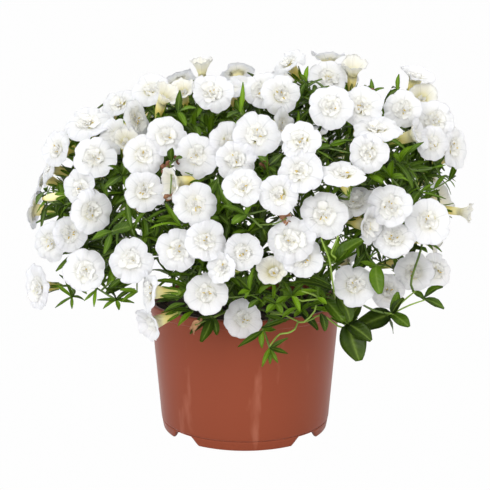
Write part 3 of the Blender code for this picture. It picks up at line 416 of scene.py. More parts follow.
# Remains of old blooms: across and down (pixels), set back and size (mm), how pale
WITHERED = (
    (195, 325, -15, 5.5, 0.8),
    (166, 168, 10, 3.5, 0.1),
    (175, 160, 11, 3.0, 0.0),
    (170, 197, 8, 4.0, 0.3),
    (265, 165, 8, 3.5, 0.0),
    (360, 173, 3, 3.5, 0.3),
    (287, 218, 5, 3.5, 0.2),
    (372, 92, 2, 3.0, 0.3),
)
# The materials of a piece, by number
PETAL = 0
LEAF, STALK, BUD = 0, 1, 2
# Numbers on the points of petals, which their material reads: the way out from the throat, the
# turn, the layer, and 1 on the back. The layer is 0 on an open corolla, 1 to 4 further in, and one
# of the three below on a half-open corolla, a tube and a yellow fold
BLOOM_MARKS = ("reach", "turn", "layer", "back")
FUNNEL, TUBE, FLECK = 0.25, -1.0, -2.0
# Numbers on the points of green parts: the way along, the way across and how bright they are; on leaves the
# last one also holds painted shade, darker deep in the crown and below the rim
GREEN_MARKS = ("along_it", "across", "tone_and_shade")
PLAIN = (0.0, 0.0, 0.0)
# Points round and along a corolla, round a tube, and along and across an inner petal
NEAR_BLOOM = (60, 9, 14, (6, 7))
FAR_BLOOM = (44, 6, 10, (4, 6))
# Points along and across a leaf, by its size or by whether it shows
LARGE_DETAIL, SEEN_DETAIL, DEEP_DETAIL = (11, 7), (6, 5), (5, 3)
SEEN_LEVEL = 0.55
# Leaf tone: the least, then the rise of painted shade from deep in the crown to its outside, the gain of
# slim leaves and the random spread
TINT_LEAST, PAINTED_SHADE_RISE, TINT_SLIM, TINT_SPREAD = 0.08, 0.42, 0.25, 0.2
LARGE_FULL, SMALL_FULL = 0.95, 0.78
HALF_OPEN = 0.6
TUBE_SIDES = 6
TWIG_TINT, SHOOT_TINT, LOW_TINT, SEPAL_TINT = 0.3, 0.35, 0.65, 0.7
FINEST_TWIG = 0.45 * MM
LOOSE_TWIG = 0.5 * MM
LOW_TWIG = 0.6 * MM
LOOSE_BOW, WITHERED_BOW = 3, 2
SHOOT_TWIG = (0.7, 0.6, 0.5, 0.4)
SOIL_ROUND, SOIL_RINGS, CRUMBS = 110, 34, 240

# Colours
WHITE = (1.0, 1.0, 1.0)
PETAL_WHITE = (0.87, 0.87, 0.88)
PETAL_SHADE = (0.83, 0.835, 0.865)
PETAL_VEIN = (0.55, 0.57, 0.60)
PETAL_CREAM = (1.0, 0.995, 0.955)
PETAL_HEART = (0.93, 0.928, 0.91)
PETAL_THROAT = (0.94, 0.88, 0.46)
FUNNEL_CREAM = (1.0, 0.97, 0.82)
PETAL_GOLD = (0.70, 0.56, 0.16)
TUBE_PALE = (0.93, 0.91, 0.66)
TUBE_YELLOW = (0.93, 0.83, 0.32)
TUBE_GREEN = (0.72, 0.74, 0.20)
# Leaf greens from dark to bright: the dark end is reached through painted shade deep in the crown and below
# the rim, and through the leaves' own darker tone
LEAF_DARK = (0.006, 0.016, 0.001)
LEAF_MIDDLE = (0.040, 0.090, 0.002)
LEAF_BRIGHT = (0.160, 0.310, 0.005)
LEAF_TIP = (0.150, 0.260, 0.008)
LEAF_RIB = (0.210, 0.310, 0.050)
LEAF_GLOW = (0.260, 0.400, 0.008)
STALK_DARK = (0.030, 0.065, 0.006)
STALK_PALE = (0.210, 0.320, 0.030)
BUD_CREAM = (0.72, 0.66, 0.36)
BUD_YELLOW = (0.74, 0.64, 0.30)
BUD_TIP = (0.30, 0.20, 0.08)
POT_DARK = (0.167, 0.033, 0.0125)
POT_PALE = (0.201, 0.0415, 0.016)
POT_SCUFF = (0.42, 0.17, 0.11)
WITHERED_TAN = (0.50, 0.27, 0.13)
WITHERED_BROWN = (0.13, 0.045, 0.020)
SOIL_BLACK = (0.008, 0.005, 0.003)
SOIL_BROWN = (0.030, 0.018, 0.012)
SOIL_FIBRE = (0.090, 0.055, 0.032)

# Surfaces
PETAL_SURFACE = {
    "Roughness": 0.55,
    "Specular IOR Level": 0.3,
    "Subsurface Weight": 0.5,
    "Subsurface Radius": (1.0, 1.0, 1.0),
    "Subsurface Scale": 2.0 * MM,
}
POT_SURFACE = {"Specular IOR Level": 0.2, "Sheen Weight": 0.3, "Sheen Roughness": 0.35}
VEINS = 35

# Light
SENSOR = 36.0
BACKDROP = 0.99
FLOOR_PALE = (0.7, 0.7, 0.7, 1)
AMBIENT_LEFT = (0.92, 0.945, 1.0)
AMBIENT_RIGHT = (0.81, 0.795, 0.78)
AMBIENT_STRENGTH = 1.55
# Name, place, size, power and colour
LAMPS = (
    ("key", (-0.65, -1.8, 0.9), 1.3, 27.0, (1.0, 0.99, 0.97)),
    ("top", (0.1, 0.1, 1.7), 1.2, 6.0, WHITE),
    ("fill", (0.9, -1.3, 0.35), 0.9, 4.0, (1.0, 0.98, 0.95)),
)


@dataclass
class Bloom:
    """A bloom: where its petals meet, the way it looks, its width, its spin and how open it is.

    It may be moved along slide, and in steps sideways, to settle among the others. Its tube runs
    the way that back points.
    """

    centre: Vector
    face: Vector
    width: float
    spin: float
    opening: float
    slide: Vector
    sideways: tuple
    back: Vector = None

    @property
    def radius(self):
        return self.width / 2

    @property
    def stand(self):
        """How far the rim of a half-open bloom stands before its centre."""
        return (1 - self.opening) * self.radius * FUNNEL_STAND

    def root(self):
        return self.centre + self.back * TUBE_LENGTH


@dataclass
class Branch:
    """A stretch of stem: the points it runs through and its radius at each."""

    points: list
    radii: list

    def bears_bloom(self):
        return self.radii[-1] == CALYX_RADIUS

    def leafy_points(self):
        """Its points but for those of a calyx."""
        return self.points[:-1] if self.bears_bloom() else self.points


@dataclass
class Leaf:
    base: Vector
    tip: Vector
    up: Vector
    width: float


@dataclass
class LeafyStem:
    """Everything that grows from one hole in the soil."""

    branches: list
    leaves: list
    buds: list


def sight_line(across, down):
    """The direction from the eye through a point of the picture."""
    ahead = Vector((0, math.cos(EYE_PITCH), -math.sin(EYE_PITCH)))
    over = Vector((0, math.sin(EYE_PITCH), math.cos(EYE_PITCH)))
    line = ahead * EYE_FOCAL + over * (PICTURE_MIDDLE - down)
    return (line + Vector((across - PICTURE_MIDDLE, 0, 0))).normalized()


def crown_level(point):
    """How far out a point is: 1 on the crown, less inside it."""
    off = point - CROWN_MIDDLE
    rise = off.z - CROWN_LEAN * off.x
    tall = CROWN_ABOVE if rise > 0 else CROWN_BELOW
    out = math.hypot(off.x / CROWN_WIDE, off.y / CROWN_DEEP)
    return out**CROWN_POWER + (abs(rise) / tall) ** CROWN_POWER


def seen_on_crown(across, down, set_back):
    """Where the line of sight through a picture point first meets the crown, or passes nearest it."""
    line = sight_line(across, down)
    reach = [SIGHT_START + SIGHT_STEP * step for step in range(SIGHT_STEPS)]
    inside = [away for away in reach if crown_level(EYE + away * line) < 1]
    away = inside[0] if inside else min(reach, key=lambda a: crown_level(EYE + a * line))
    return EYE + (away + set_back * MM) * line


def looking(point, turn, lift):
    """A direction given by its turn to the right and its lift from the line back to the eye."""
    toward = (EYE - point).normalized()
    right = UP.cross(toward).normalized()
    over = toward.cross(right)
    turn, lift = math.radians(turn), math.radians(lift)
    level = toward * math.cos(turn) + right * math.sin(turn)
    return (level * math.cos(lift) + over * math.sin(lift)).normalized()


def seen_blooms(rng):
    blooms = []
    for across, down, width, turn, lift, set_back, opening in SEEN_BLOOMS:
        centre = seen_on_crown(across, down, set_back)
        face = looking(centre, turn, lift)
        slide = (centre - EYE).normalized()
        spin = rng.uniform(0, LOBE_DEGREES)
        blooms.append(Bloom(centre, face, width * MM, spin, opening, slide, SEEN_SIDEWAYS))
    return blooms


def crown_point(direction):
    """The crown's point in a direction from its middle."""
    near, far = 0.0, CROWN_FURTHEST
    while far - near > CROWN_EXACT:
        half = (near + far) / 2
        if crown_level(CROWN_MIDDLE + direction * half) < 1:
            near = half
        else:
            far = half
    return CROWN_MIDDLE + direction * near


def turned_out(turn, out, height):
    """A point or direction by its turn, its distance from the upright axis and its height."""
    return Vector((out * math.cos(turn), out * math.sin(turn), height))


def spiral_direction(index, count):
    """Directions spread evenly over a ball, from its top down."""
    height = 1 - 2 * (index + 0.5) / count
    return turned_out(index * GOLDEN_TURN, math.sqrt(1 - height * height), height)


def hidden_from_the_eye(point):
    """Behind the crown's middle, on top of it, or round its sides, so that no seen bloom is doubled."""
    on_top = point.y > HIDDEN_TOP[0] and point.z > HIDDEN_TOP[1]
    at_side = point.y > HIDDEN_SIDE[0] and abs(point.x) > HIDDEN_SIDE[1]
    return point.y > HIDDEN_BACK or on_top or at_side


def fill_blooms(blooms, rng):
    """Blooms for the sides, the back and the top, spaced as those in the picture are."""
    filled = []
    for index in range(FILL_DIRECTIONS):
        direction = spiral_direction(index, FILL_DIRECTIONS)
        sunk = rng.uniform(*FILL_SUNK) * MM
        width = rng.uniform(*FILL_WIDTHS)
        tilt = Vector([rng.uniform(-FILL_TILT, FILL_TILT) for _ in range(3)])
        spin = rng.uniform(0, LOBE_DEGREES)
        opening = FILL_OPENING if rng.random() < FILL_HALF_OPEN else 1.0
        centre = crown_point(direction) - direction * sunk
        if centre.z < FILL_LOWEST or not hidden_from_the_eye(centre):
            continue
        if min((centre - other.centre).length for other in blooms + filled) < FILL_SPACING:
            continue
        level = Vector((direction.x, direction.y, 0)).normalized()
        face = (direction + FILL_LIFT * UP + FILL_LEAN * level + tilt).normalized()
        filled.append(Bloom(centre, face, width, spin, opening, direction, FILL_SIDEWAYS))
    return filled


def across_and_over(face, spin):
    """Two directions square to a bloom's face."""
    aside = face.orthogonal().normalized()
    aside = Matrix.Rotation(math.radians(spin), 3, face) @ aside
    return aside, face.cross(aside)


def bloom_cage(bloom, push=0.0):
    """Corners and triangles of a bloom: five lobes, a raised ruffle and a tapering tube."""
    radius, stand = bloom.radius, bloom.stand
    aside, over = across_and_over(bloom.face, bloom.spin)

    def ring(count, out, height):
        places = []
        for step in range(count):
            turn = 2 * math.pi * step / count
            reach = out * (NOTCH if count == 10 and step % 2 else 1)
            level = height + (NOTCH_RISE if count == 10 and step % 2 else 0)
            flat = aside * math.cos(turn) * reach + over * math.sin(turn) * reach
            places.append(bloom.centre + flat + bloom.face * (level + push))
        return places

    corners = ring(10, radius, stand)
    corners += ring(5, radius * RUFFLE_RADIUS, RUFFLE_RISE + 0.5 * stand)
    corners += ring(5, radius * THROAT, -THROAT_SINK)
    bend = (-bloom.face).rotation_difference(bloom.back)
    end_middle = bloom.centre + bloom.face * push + bloom.back * TUBE_LENGTH
    for step in range(3):
        turn = 2 * math.pi * step / 3
        out = aside * math.cos(turn) + over * math.sin(turn)
        corners.append(end_middle + bend @ out * TUBE_END_RADIUS)
    faces = [(10, 11, 12), (10, 12, 13), (10, 13, 14), (20, 22, 21)]
    for lobe in range(5):
        here, notch, there = 2 * lobe, 2 * lobe + 1, (2 * lobe + 2) % 10
        after = (lobe + 1) % 5
        top, top_after = 10 + lobe, 10 + after
        low, low_after = 15 + lobe, 15 + after
        end, end_after = 20 + (lobe + 1) // 2, 20 + (after + 1) // 2
        faces += [(here, notch, top), (notch, there, top_after), (notch, top_after, top)]
        faces += [(notch, here, low), (there, notch, low_after), (notch, low, low_after)]
        faces += [(low, end_after, low_after)]
        if end != end_after:
            faces += [(low, end, end_after)]
    return corners, faces


def bloom_tree(bloom, push=0.0):
    return BVHTree.FromPolygons(*bloom_cage(bloom, push))


def touched(bloom, placed):
    """The placed blooms that a bloom meets, and those that it meets deeply enough to join."""
    trees = [bloom_tree(bloom, push * MM) for push in PUSHES]
    near, joined = [], []
    for index, (other, tree) in enumerate(placed):
        if (other.centre - bloom.centre).length > TUBE_LENGTH + TOUCH_REACH:
            continue
        meets = [bool(each.overlap(tree)) for each in trees]
        if any(meets):
            near.append(index)
        if all(meets[1:4]):
            joined.append(index)
    return near, joined


def back_ways(face):
    """Straight back from a face, then bent off that all round."""
    aside, over = across_and_over(face, 0)
    ways = [-face]
    for tilt in TUBE_TILTS:
        for turn in range(0, 360, 360 // TUBE_WAYS):
            off = aside * math.cos(math.radians(turn)) + over * math.sin(math.radians(turn))
            ways.append(off * math.sin(math.radians(tilt)) - face * math.cos(math.radians(tilt)))
    return ways


def calyx_places(bloom):
    root = bloom.root()
    return np.array([[*(root + bloom.back * out), CALYX_RADIUS] for out in (0, CALYX_LENGTH)])


def bend_back(bloom, room):
    """Turns a bloom's tube so that its calyx is clear of the other blooms. The cost, if it can."""
    for step, way in enumerate(back_ways(bloom.face)):
        bloom.back = way
        places = calyx_places(bloom)
        if room.clear_of_blooms(places, None) and clear_of_pot(places):
            return 0 if step == 0 else BENT_COST + step // TUBE_WAYS
    return None


def settled(blooms):
    """Each bloom slid a little so that it either joins one small group or stands clear of all."""
    placed, group, waiting = [], [], list(blooms)
    room, calyxes = Room(), np.zeros((0, 4))
    offsets = sorted(range(-SETTLE_STEPS, SETTLE_STEPS + 1), key=abs)
    while waiting:
        bloom = min(waiting, key=lambda each: nearest_distance(each, placed))
        waiting.remove(bloom)
        home = bloom.centre
        best = None
        for offset in offsets:
            for sideways in side_steps(bloom, home, placed):
                bloom.centre = home + bloom.slide * (offset * SETTLE_STEP) + sideways
                rank = abs(offset) + sideways.length / SETTLE_STEP
                if best is not None and rank >= best[0]:
                    continue
                bent = bend_back(bloom, room)
                if bent is None or strikes(calyxes, [bloom]).any():
                    continue
                near, joined = touched(bloom, placed)
                met = {group[index] for index in near}
                size = sum(number in met for number in group) + 1
                if size > FULLEST_GROUP or met != {group[index] for index in joined}:
                    continue
                rank += bent + (0 if met else ALONE_COST)
                if best is None or rank < best[0]:
                    best = (rank, bloom.centre.copy(), bloom.back.copy(), met)
        if best is None:
            continue
        bloom.centre, bloom.back = best[1:3]
        placed.append((bloom, bloom_tree(bloom)))
        room.blooms.append(bloom)
        calyxes = np.vstack([calyxes, calyx_places(bloom)])
        number = len(placed)
        group = [number if each in best[3] else each for each in group] + [number]
    return [bloom for bloom, _ in placed], group


def nearest_distance(bloom, placed):
    return min(((bloom.centre - other.centre).length for other, _ in placed), default=0)


def side_steps(bloom, home, placed):
    """Steps towards the nearest bloom, for one whose place the picture doesn't fix."""
    steps = [Vector((0, 0, 0))]
    if placed:
        nearest = min(placed, key=lambda pair: (pair[0].centre - home).length)[0]
        pull = nearest.centre - home
        pull = (pull - bloom.slide * pull.dot(bloom.slide)).normalized()
        steps += [pull * (step * MM) for step in bloom.sideways]
    return steps


def stem_hole(index):
    """Where a stem leaves the soil: the later the stem, the further out and the lower it leans."""
    out = HOLE_NEAR + (HOLE_FAR - HOLE_NEAR) * (index / (STEMS - 1))
    return turned_out(index * GOLDEN_TURN + STEM_TURN, out, SOIL_TOP)


def stem_direction(index):
    """The way a stem leans, from the crown's middle."""
    height = STEM_STEEP + (STEM_LOW - STEM_STEEP) * (index / (STEMS - 1))
    return turned_out(index * GOLDEN_TURN + STEM_TURN, math.sqrt(1 - height * height), height)


def curve_point(start, first, last, end, share):
    """A point of the smooth curve that leaves start towards first and reaches end from last."""
    back = 1 - share
    leaving = start * back**3 + first * (3 * back * back * share)
    arriving = last * (3 * back * share * share) + end * share**3
    return leaving + arriving


def main_branch(index):
    hole, lean = stem_hole(index), stem_direction(index)
    end = CROWN_MIDDLE + (crown_point(lean) - CROWN_MIDDLE) * STEM_REACH
    start = hole + UP * 4 * MM
    first, last = start + UP * 26 * MM, end - lean * 34 * MM
    points = [hole + UP * (GAP - HOLE_DEPTH)]
    points += [curve_point(start, first, last, end, step / 4) for step in range(5)]
    radii = [STEM_RADIUS + (STEM_TIP_RADIUS - STEM_RADIUS) * step / 5 for step in range(6)]
    return Branch(points, radii)


def along(points, spacing):
    """Evenly spaced places and headings along a run of points."""
    found = []
    for here, there in zip(points, points[1:]):
        count = max(1, round((there - here).length / spacing))
        heading = (there - here).normalized()
        found += [(here.lerp(there, (step + 0.5) / count), heading) for step in range(count)]
    return found


def columns(blooms, *names):
    """One array over the blooms for each of the named values."""
    return [np.array([getattr(bloom, name) for bloom in blooms]) for name in names]


def strikes(places, blooms):
    """Which places come within reach of which blooms' petals, and of which blooms' tubes."""
    if not len(places) or not blooms:
        return np.zeros((2, len(places), len(blooms)), bool)
    centres, faces, backs, radii, stands = columns(blooms, "centre", "face", "back", "radius", "stand")
    backs = backs * TUBE_LENGTH
    offset = places[:, None, :3] - centres
    room = places[:, None, 3] + CLEARANCE
    height = (offset * faces).sum(2)
    out = np.sqrt(np.maximum((offset**2).sum(2) - height**2, 0))
    petals = (out < radii + room) & (height > -PETALS_BEHIND - room)
    petals &= height < RUFFLE_RISE + stands + room
    share = np.clip((offset * backs).sum(2) / TUBE_LENGTH**2, 0, 1)
    away = np.sqrt(((offset - share[..., None] * backs) ** 2).sum(2))
    tube = radii * THROAT + (TUBE_END_RADIUS - radii * THROAT) * share
    return np.array([petals, away < tube + room])


class Room:
    """The space that blooms, stems and leaves take, so that what grows later stays clear of it."""

    def __init__(self, blooms=()):
        self.blooms = list(blooms)
        self.places = [np.zeros((0, 4)) for _ in range(STEMS)]

    def add(self, stem, places):
        self.places[stem] = np.vstack([self.places[stem], places])

    def clear_of_blooms(self, places, own):
        """Clear of all the blooms, but for the tube of the bloom that the places lead to."""
        petals, tubes = strikes(places, self.blooms)
        if own is not None:
            tubes[:, own] = False
        return not (petals | tubes).any()

    def clear_of_stems(self, places, stem, root):
        """Clear of the other stems, and past the root clear of the same stem."""
        others = [held for index, held in enumerate(self.places) if index != stem]
        if meets(places, np.vstack(others)):
            return False
        own = self.places[stem]
        past_root = np.linalg.norm(own[:, :3] - root, axis=1) > ROOT_ROOM
        out_there = np.linalg.norm(places[:, :3] - root, axis=1) > ROOT_ROOM / 2
        return not meets(places[out_there], own[past_root])

    def allows(self, places, stem, root, own=None):
        return (
            clear_of_pot(places)
            and self.clear_of_blooms(places, own)
            and self.clear_of_stems(places, stem, root)
        )


def meets(places, others):
    if not len(places) or not len(others):
        return False
    apart = np.sqrt(((places[:, None, :3] - others[:, :3]) ** 2).sum(2))
    return bool((apart < places[:, None, 3] + others[:, 3] + CLEARANCE).any())


def clear_of_pot(places):
    out = np.hypot(places[:, 0], places[:, 1])
    low = places[:, 2] - places[:, 3] < POT_HEIGHT + 1 * MM
    outside = out - places[:, 3] > RIM_RADIUS + 1 * MM
    over_soil = (out + places[:, 3] < RIM_RADIUS - LIP_OVERHANG - WALL - 2 * MM) & (
        places[:, 2] - places[:, 3] > SOIL_TOP + SOIL_LUMP + 1 * MM
    )
    return bool((~low | outside | over_soil).all())


def branch_places(points, radius):
    return np.array([[*place, radius] for place, _ in along(points, PLACE_STEP)])


class Plant:
    """Grows the stems out to the blooms, shoots and buds."""

    def __init__(self, blooms):
        self.room = Room(blooms)
        self.stems = []
        self.spots = []
        self.crowded = []
        self.loose = []
        for index in range(STEMS):
            branch = main_branch(index)
            self.stems.append(LeafyStem([branch], [], []))
            self.keep(index, branch.points[1:], 0.0)

    def keep(self, stem, points, run):
        """Remembers a branch, as something to stay clear of and as something to branch from."""
        self.room.add(stem, branch_places(points, TWIG_RADIUS * 1.4))
        for place, heading in along(points, SPOT_STEP):
            run += SPOT_STEP
            self.spots.append((place, heading, stem, run))

    def cost(self, spot, end):
        place, heading, stem, run = spot
        away = end - place
        reach = max(away.length, 1 * MM)
        backward = 1 - heading.dot(away) / reach
        outward = max(0.0, crown_level(place) - crown_level(end))
        crowded = LOAD_COST * len(self.stems[stem].branches)
        close = CLOSE_COST * max(0, TOO_CLOSE - reach)
        return reach + BACKWARD_COST * backward + RUN_COST * run + OUTWARD_COST * outward + close + crowded

    def grow_to(self, end, arrive, own, flare):
        """A twig from the best place on the stems to an end that it reaches in a given direction."""
        neck = end - arrive * flare if flare else end
        for spot in sorted(self.spots, key=lambda each: self.cost(each, neck))[:TRIES]:
            place, heading, stem, run = spot
            for bow in BOWS:
                reach = (neck - place).length * bow
                lean = (heading * 0.5 + (neck - place).normalized() * 0.9).normalized()
                shape = (place, place + lean * reach, neck - arrive * reach, neck)
                count = 1 + sum((neck - place).length > limit for limit in TWIG_LIMITS)
                points = [curve_point(*shape, step / count) for step in range(count + 1)]
                places = branch_places(points, TWIG_RADIUS)[1:]
                if flare:
                    places = np.vstack([places, branch_places([neck, end], CALYX_RADIUS)])
                if not self.room.allows(places, stem, place, own):
                    continue
                self.keep(stem, points, run)
                return stem, points
        return None

    def reach_bloom(self, bloom, number):
        end = bloom.root() + bloom.back * GAP
        grown = self.grow_to(end, -bloom.back, number, CALYX_LENGTH)
        if grown is None:
            raise ValueError("no stem reaches a bloom")
        stem, points = grown
        radii = twig_radii(points) + [CALYX_RADIUS]
        self.stems[stem].branches.append(Branch([*points, end], radii))
        self.room.add(stem, branch_places([points[-1], end], CALYX_RADIUS))

    def reach_shoot(self, head, arrive):
        grown = self.grow_to(head, arrive, None, 0)
        if grown is None:
            return None
        stem, points = grown
        self.stems[stem].branches.append(Branch(points, twig_radii(points)))
        return stem

    def nearest_spot(self, place):
        return min(self.spots, key=lambda spot: (spot[0] - place).length)

    def loose_route(self, end, bow):
        """The stem nearest to a place, and the points of a bowed twig from it to there."""
        start, heading, stem, _ = self.nearest_spot(end)
        return stem, [start, start.lerp(end, 0.5) + heading * bow * MM, end]

    def squeeze_in(self, head, ends):
        """A thin twig and its leaves, where the solids have no room for them."""
        stem, points = self.loose_route(head, LOOSE_BOW)
        self.loose.append((stem, Branch(points, [LOOSE_TWIG] * 3)))
        self.crowded += [(stem, facing_leaf(head, end, width)) for end, width in ends]

    def add_leaf(self, stem, leaf):
        """Adds a leaf if there is room for it."""
        places = leaf_places(leaf)
        if not self.room.allows(places, stem, leaf.base):
            return False
        self.stems[stem].leaves.append(leaf)
        self.room.add(stem, places)
        return True

    def add_bud(self, base, tip):
        """Adds a bud on a twig of its own if there is room for it."""
        places = branch_places([base, tip], BUD_RADIUS)
        if meets(places, np.vstack(self.room.places)) or not self.room.clear_of_blooms(places, None):
            return
        stem = self.reach_shoot(base, (tip - base).normalized())
        if stem is not None:
            self.stems[stem].buds.append((base, tip))
            self.room.add(stem, places)


def twig_radii(points):
    """A twig starts thin inside the branch that bears it, and is even past that."""
    return [TWIG_START_RADIUS] + [TWIG_RADIUS] * (len(points) - 1)


def leaf_places(leaf):
    """Places over a leaf's blade, past its root."""
    run = leaf.tip - leaf.base
    side = run.cross(leaf.up).normalized()
    top = side.cross(run).normalized()
    places = []
    for share in (0.2, 0.35, 0.5, 0.65, 0.8, 1.0):
        half = leaf.width / 2 * math.sin(math.pi * min(0.95, share + 0.05))
        rise = LEAF_ARCH * run.length * 4 * share * (1 - share)
        spine = leaf.base + run * share + top * rise
        places += [[*(spine + side * half * across), 1.0 * MM] for across in (-1, 0, 1)]
    return np.array(places)


def leaf_between(head, tip, width, lean):
    """A leaf whose root is sunk into the stem at its head."""
    run = (tip - head).normalized()
    up = (lean - run * lean.dot(run)).normalized()
    return Leaf(head - run * LEAF_ROOT, tip, up, width)


def facing_leaf(head, tip, width):
    """A leaf that turns its upper side to the eye."""
    return leaf_between(head, tip, width, (EYE - head).normalized() * TOWARD_EYE + UP)


def grow_seen_shoots(plant, rng):
    for (across, down), set_back, tips in SEEN_SHOOTS:
        head = seen_on_crown(across, down, set_back)
        away = (head - EYE).length
        ends = []
        for tip_across, tip_down, width in tips:
            depth = away + rng.uniform(*SHOOT_DEPTHS) * MM
            ends.append((EYE + sight_line(tip_across, tip_down) * depth, width * MM))
        middle = sum((end for end, _ in ends), Vector()) / len(ends)
        outward = (head - Vector((0, 0, SOIL_TOP))).normalized()
        stem = plant.reach_shoot(head, ((middle - head).normalized() + outward).normalized())
        if stem is None:
            plant.squeeze_in(head, ends)
            continue
        for end, width in ends:
            leaf = facing_leaf(head, end, width)
            if not plant.add_leaf(stem, leaf):
                plant.crowded.append((stem, leaf))


def grow_seen_buds(plant):
    for across, down, tip_across, tip_down, set_back in SEEN_BUDS:
        base = seen_on_crown(across, down, set_back)
        away = (base - EYE).length
        tip = EYE + sight_line(tip_across, tip_down) * away
        plant.add_bud(base, tip)


def grow_rule_leaves(plant, rng):
    """Leaves in turn round every branch, where there is room, up to the number wanted."""
    wanted = []
    for stem, leafy in enumerate(plant.stems):
        for branch in leafy.branches:
            turn = rng.uniform(0, 2 * math.pi)
            for place, heading in along(branch.leafy_points(), LEAF_SPACING):
                turn += math.radians(GOLDEN_DEGREES)
                if place.z < SOIL_TOP + RULE_LEAF_RISE:
                    continue
                size = (rng.uniform(*LEAF_LENGTHS), rng.uniform(*LEAF_WIDTHS))
                wanted.append((stem, place, heading, turn, size))
    rng.shuffle(wanted)
    count = 0
    for stem, place, heading, turn, (length, width) in wanted:
        if count == RULE_LEAVES:
            break
        for again in range(LEAF_TRIES):
            aside, _ = across_and_over(heading, math.degrees(turn) + 360 / LEAF_TRIES * again)
            way = (aside + heading * 0.55 + UP * 0.25).normalized()
            leaf = leaf_between(place, place + way * length, width, heading * 0.7 + UP)
            if plant.add_leaf(stem, leaf):
                count += 1
                break


def grown_plant(blooms):
    """The stems with everything on them. The bloom nearest to what has grown is reached next."""
    rng = random.Random(STEM_SEED)
    plant = Plant(blooms)
    waiting = list(range(len(blooms)))
    while waiting:
        places = np.array([spot[0] for spot in plant.spots])
        roots = np.array([blooms[number].root() for number in waiting])
        apart = ((roots[:, None] - places) ** 2).sum(2).min(1)
        number = waiting.pop(int(apart.argmin()))
        plant.reach_bloom(blooms[number], number)
    grow_seen_shoots(plant, rng)
    grow_seen_buds(plant)
    grow_rule_leaves(plant, rng)
    return plant


class Piece:
    """Gathers closed shapes into one mesh, with numbers on its points for the materials."""

    def __init__(self, marks):
        self.names = marks
        self.points, self.faces, self.kinds, self.marks = [], [], [], []
        self.count = 0

    def add(self, points, faces, kind, marks):
        shape = points.shape[:-1]
        corners = points.reshape(-1, 3)[faces.reshape(-1, 4)]
        corners = corners - corners[0, 0]
        inside = np.linalg.det(corners[:, :3]).sum() + np.linalg.det(corners[:, [0, 2, 3]]).sum()
        if inside < 0:
            faces = faces[..., ::-1]
        self.points.append(points.reshape(-1, 3))
        self.faces.append(faces.reshape(-1, 4) + self.count)
        self.kinds.append(np.full(faces.size // 4, kind))
        spread = [np.broadcast_to(mark, shape).ravel() for mark in marks]
        self.marks.append(np.stack(spread, -1))
        self.count += points.size // 3

    def sheet(self, grid, thickness, kind, marks, round_about=False):
        """A thin closed sheet on a grid of points, which may run round on itself."""
        half = np.full(grid.shape[:2], thickness / 2)
        half[-1] *= 0.5
        offset = grid_normals(grid, round_about) * half[..., None]
        both = np.stack([grid + offset, grid - offset])
        number = np.arange(grid.size // 3 * 2).reshape(2, *grid.shape[:2])
        if round_about:
            number = np.concatenate([number, number[:, :, :1]], 2)
        upper, lower = number
        faces = [quads(upper), quads(lower)[..., ::-1]]
        faces += [strip(lower[0], upper[0]), strip(upper[-1], lower[-1])]
        if not round_about:
            faces += [strip(upper[:, 0], lower[:, 0]), strip(lower[:, -1], upper[:, -1])]
        faces = np.concatenate([each.reshape(-1, 4) for each in faces])
        self.add(both, faces, kind, marks)

    def tube(self, points, radii, sides, kind, marks):
        """A closed tube along a run of points. Its sides are even in number."""
        points = np.asarray(points, float)
        heading = np.gradient(points, axis=0)
        heading /= np.linalg.norm(heading, axis=1)[:, None] + 1e-12
        side = np.cross(heading[0], (0, 0, 1) if abs(heading[0][2]) < 0.8 else (1, 0, 0))
        turn = turns(sides)
        rings = []
        for place, way, radius in zip(points, heading, radii):
            side = side - way * side.dot(way)
            side /= np.linalg.norm(side) + 1e-12
            over = np.cross(way, side)
            rings.append(place + radius * (np.outer(np.cos(turn), side) + np.outer(np.sin(turn), over)))
        marks = [np.reshape(mark, (-1, 1)) for mark in marks]
        self.add(np.array(rings), capped(ring_numbers(len(rings), sides)), kind, marks)

    def build(self, name, materials):
        points = np.concatenate(self.points).astype(np.float32)
        faces = np.concatenate(self.faces).astype(np.int32)
        mesh = bpy.data.meshes.new(name)
        mesh.vertices.add(len(points))
        mesh.vertices.foreach_set("co", points.ravel())
        mesh.loops.add(faces.size)
        mesh.loops.foreach_set("vertex_index", faces.ravel())
        mesh.polygons.add(len(faces))
        mesh.polygons.foreach_set("loop_start", np.arange(0, faces.size, 4, dtype=np.int32))
        mesh.polygons.foreach_set("material_index", np.concatenate(self.kinds).astype(np.int32))
        mesh.update(calc_edges=True)
        marks = np.concatenate(self.marks).astype(np.float32)
        for column, mark in enumerate(self.names):
            layer = mesh.attributes.new(mark, "FLOAT", "POINT")
            layer.data.foreach_set("value", np.ascontiguousarray(marks[:, column]))
        mesh.shade_smooth()
        piece = put(name, mesh)
        for material in materials:
            mesh.materials.append(material)
        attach(piece, "root")
        return piece


def put(name, data):
    """A new object of the scene that holds the data."""
    made = bpy.data.objects.new(name, data)
    bpy.context.scene.collection.objects.link(made)
    return made


def rows(*values):
    return np.array(values, float)


def unit(vector):
    return vector / np.linalg.norm(vector)


def turns(count):
    """Even turns all the way round."""
    return np.arange(count) * 2 * np.pi / count


def ring_numbers(rings, sides):
    """The numbers of the points in rings, each closed by its first point."""
    number = np.arange(rings * sides).reshape(rings, sides)
    return np.concatenate([number, number[:, :1]], 1)


def quads(number):
    """Faces between the neighbouring rows of a grid, given by the numbers of its points."""
    return np.stack([number[:-1, :-1], number[1:, :-1], number[1:, 1:], number[:-1, 1:]], -1)


def capped(number):
    """Faces of a closed tube, from the numbers of the points in its even rings."""
    ends = [number[0], number[-1][::-1]]
    caps = [end[[0, step, step + 1, step + 2]] for end in ends for step in range(1, len(end) - 2, 2)]
    return np.concatenate([quads(number).reshape(-1, 4), np.array(caps)])


def strip(here, there):
    """Faces between two runs of numbered points."""
    return np.stack([here[:-1], here[1:], there[1:], there[:-1]], -1)


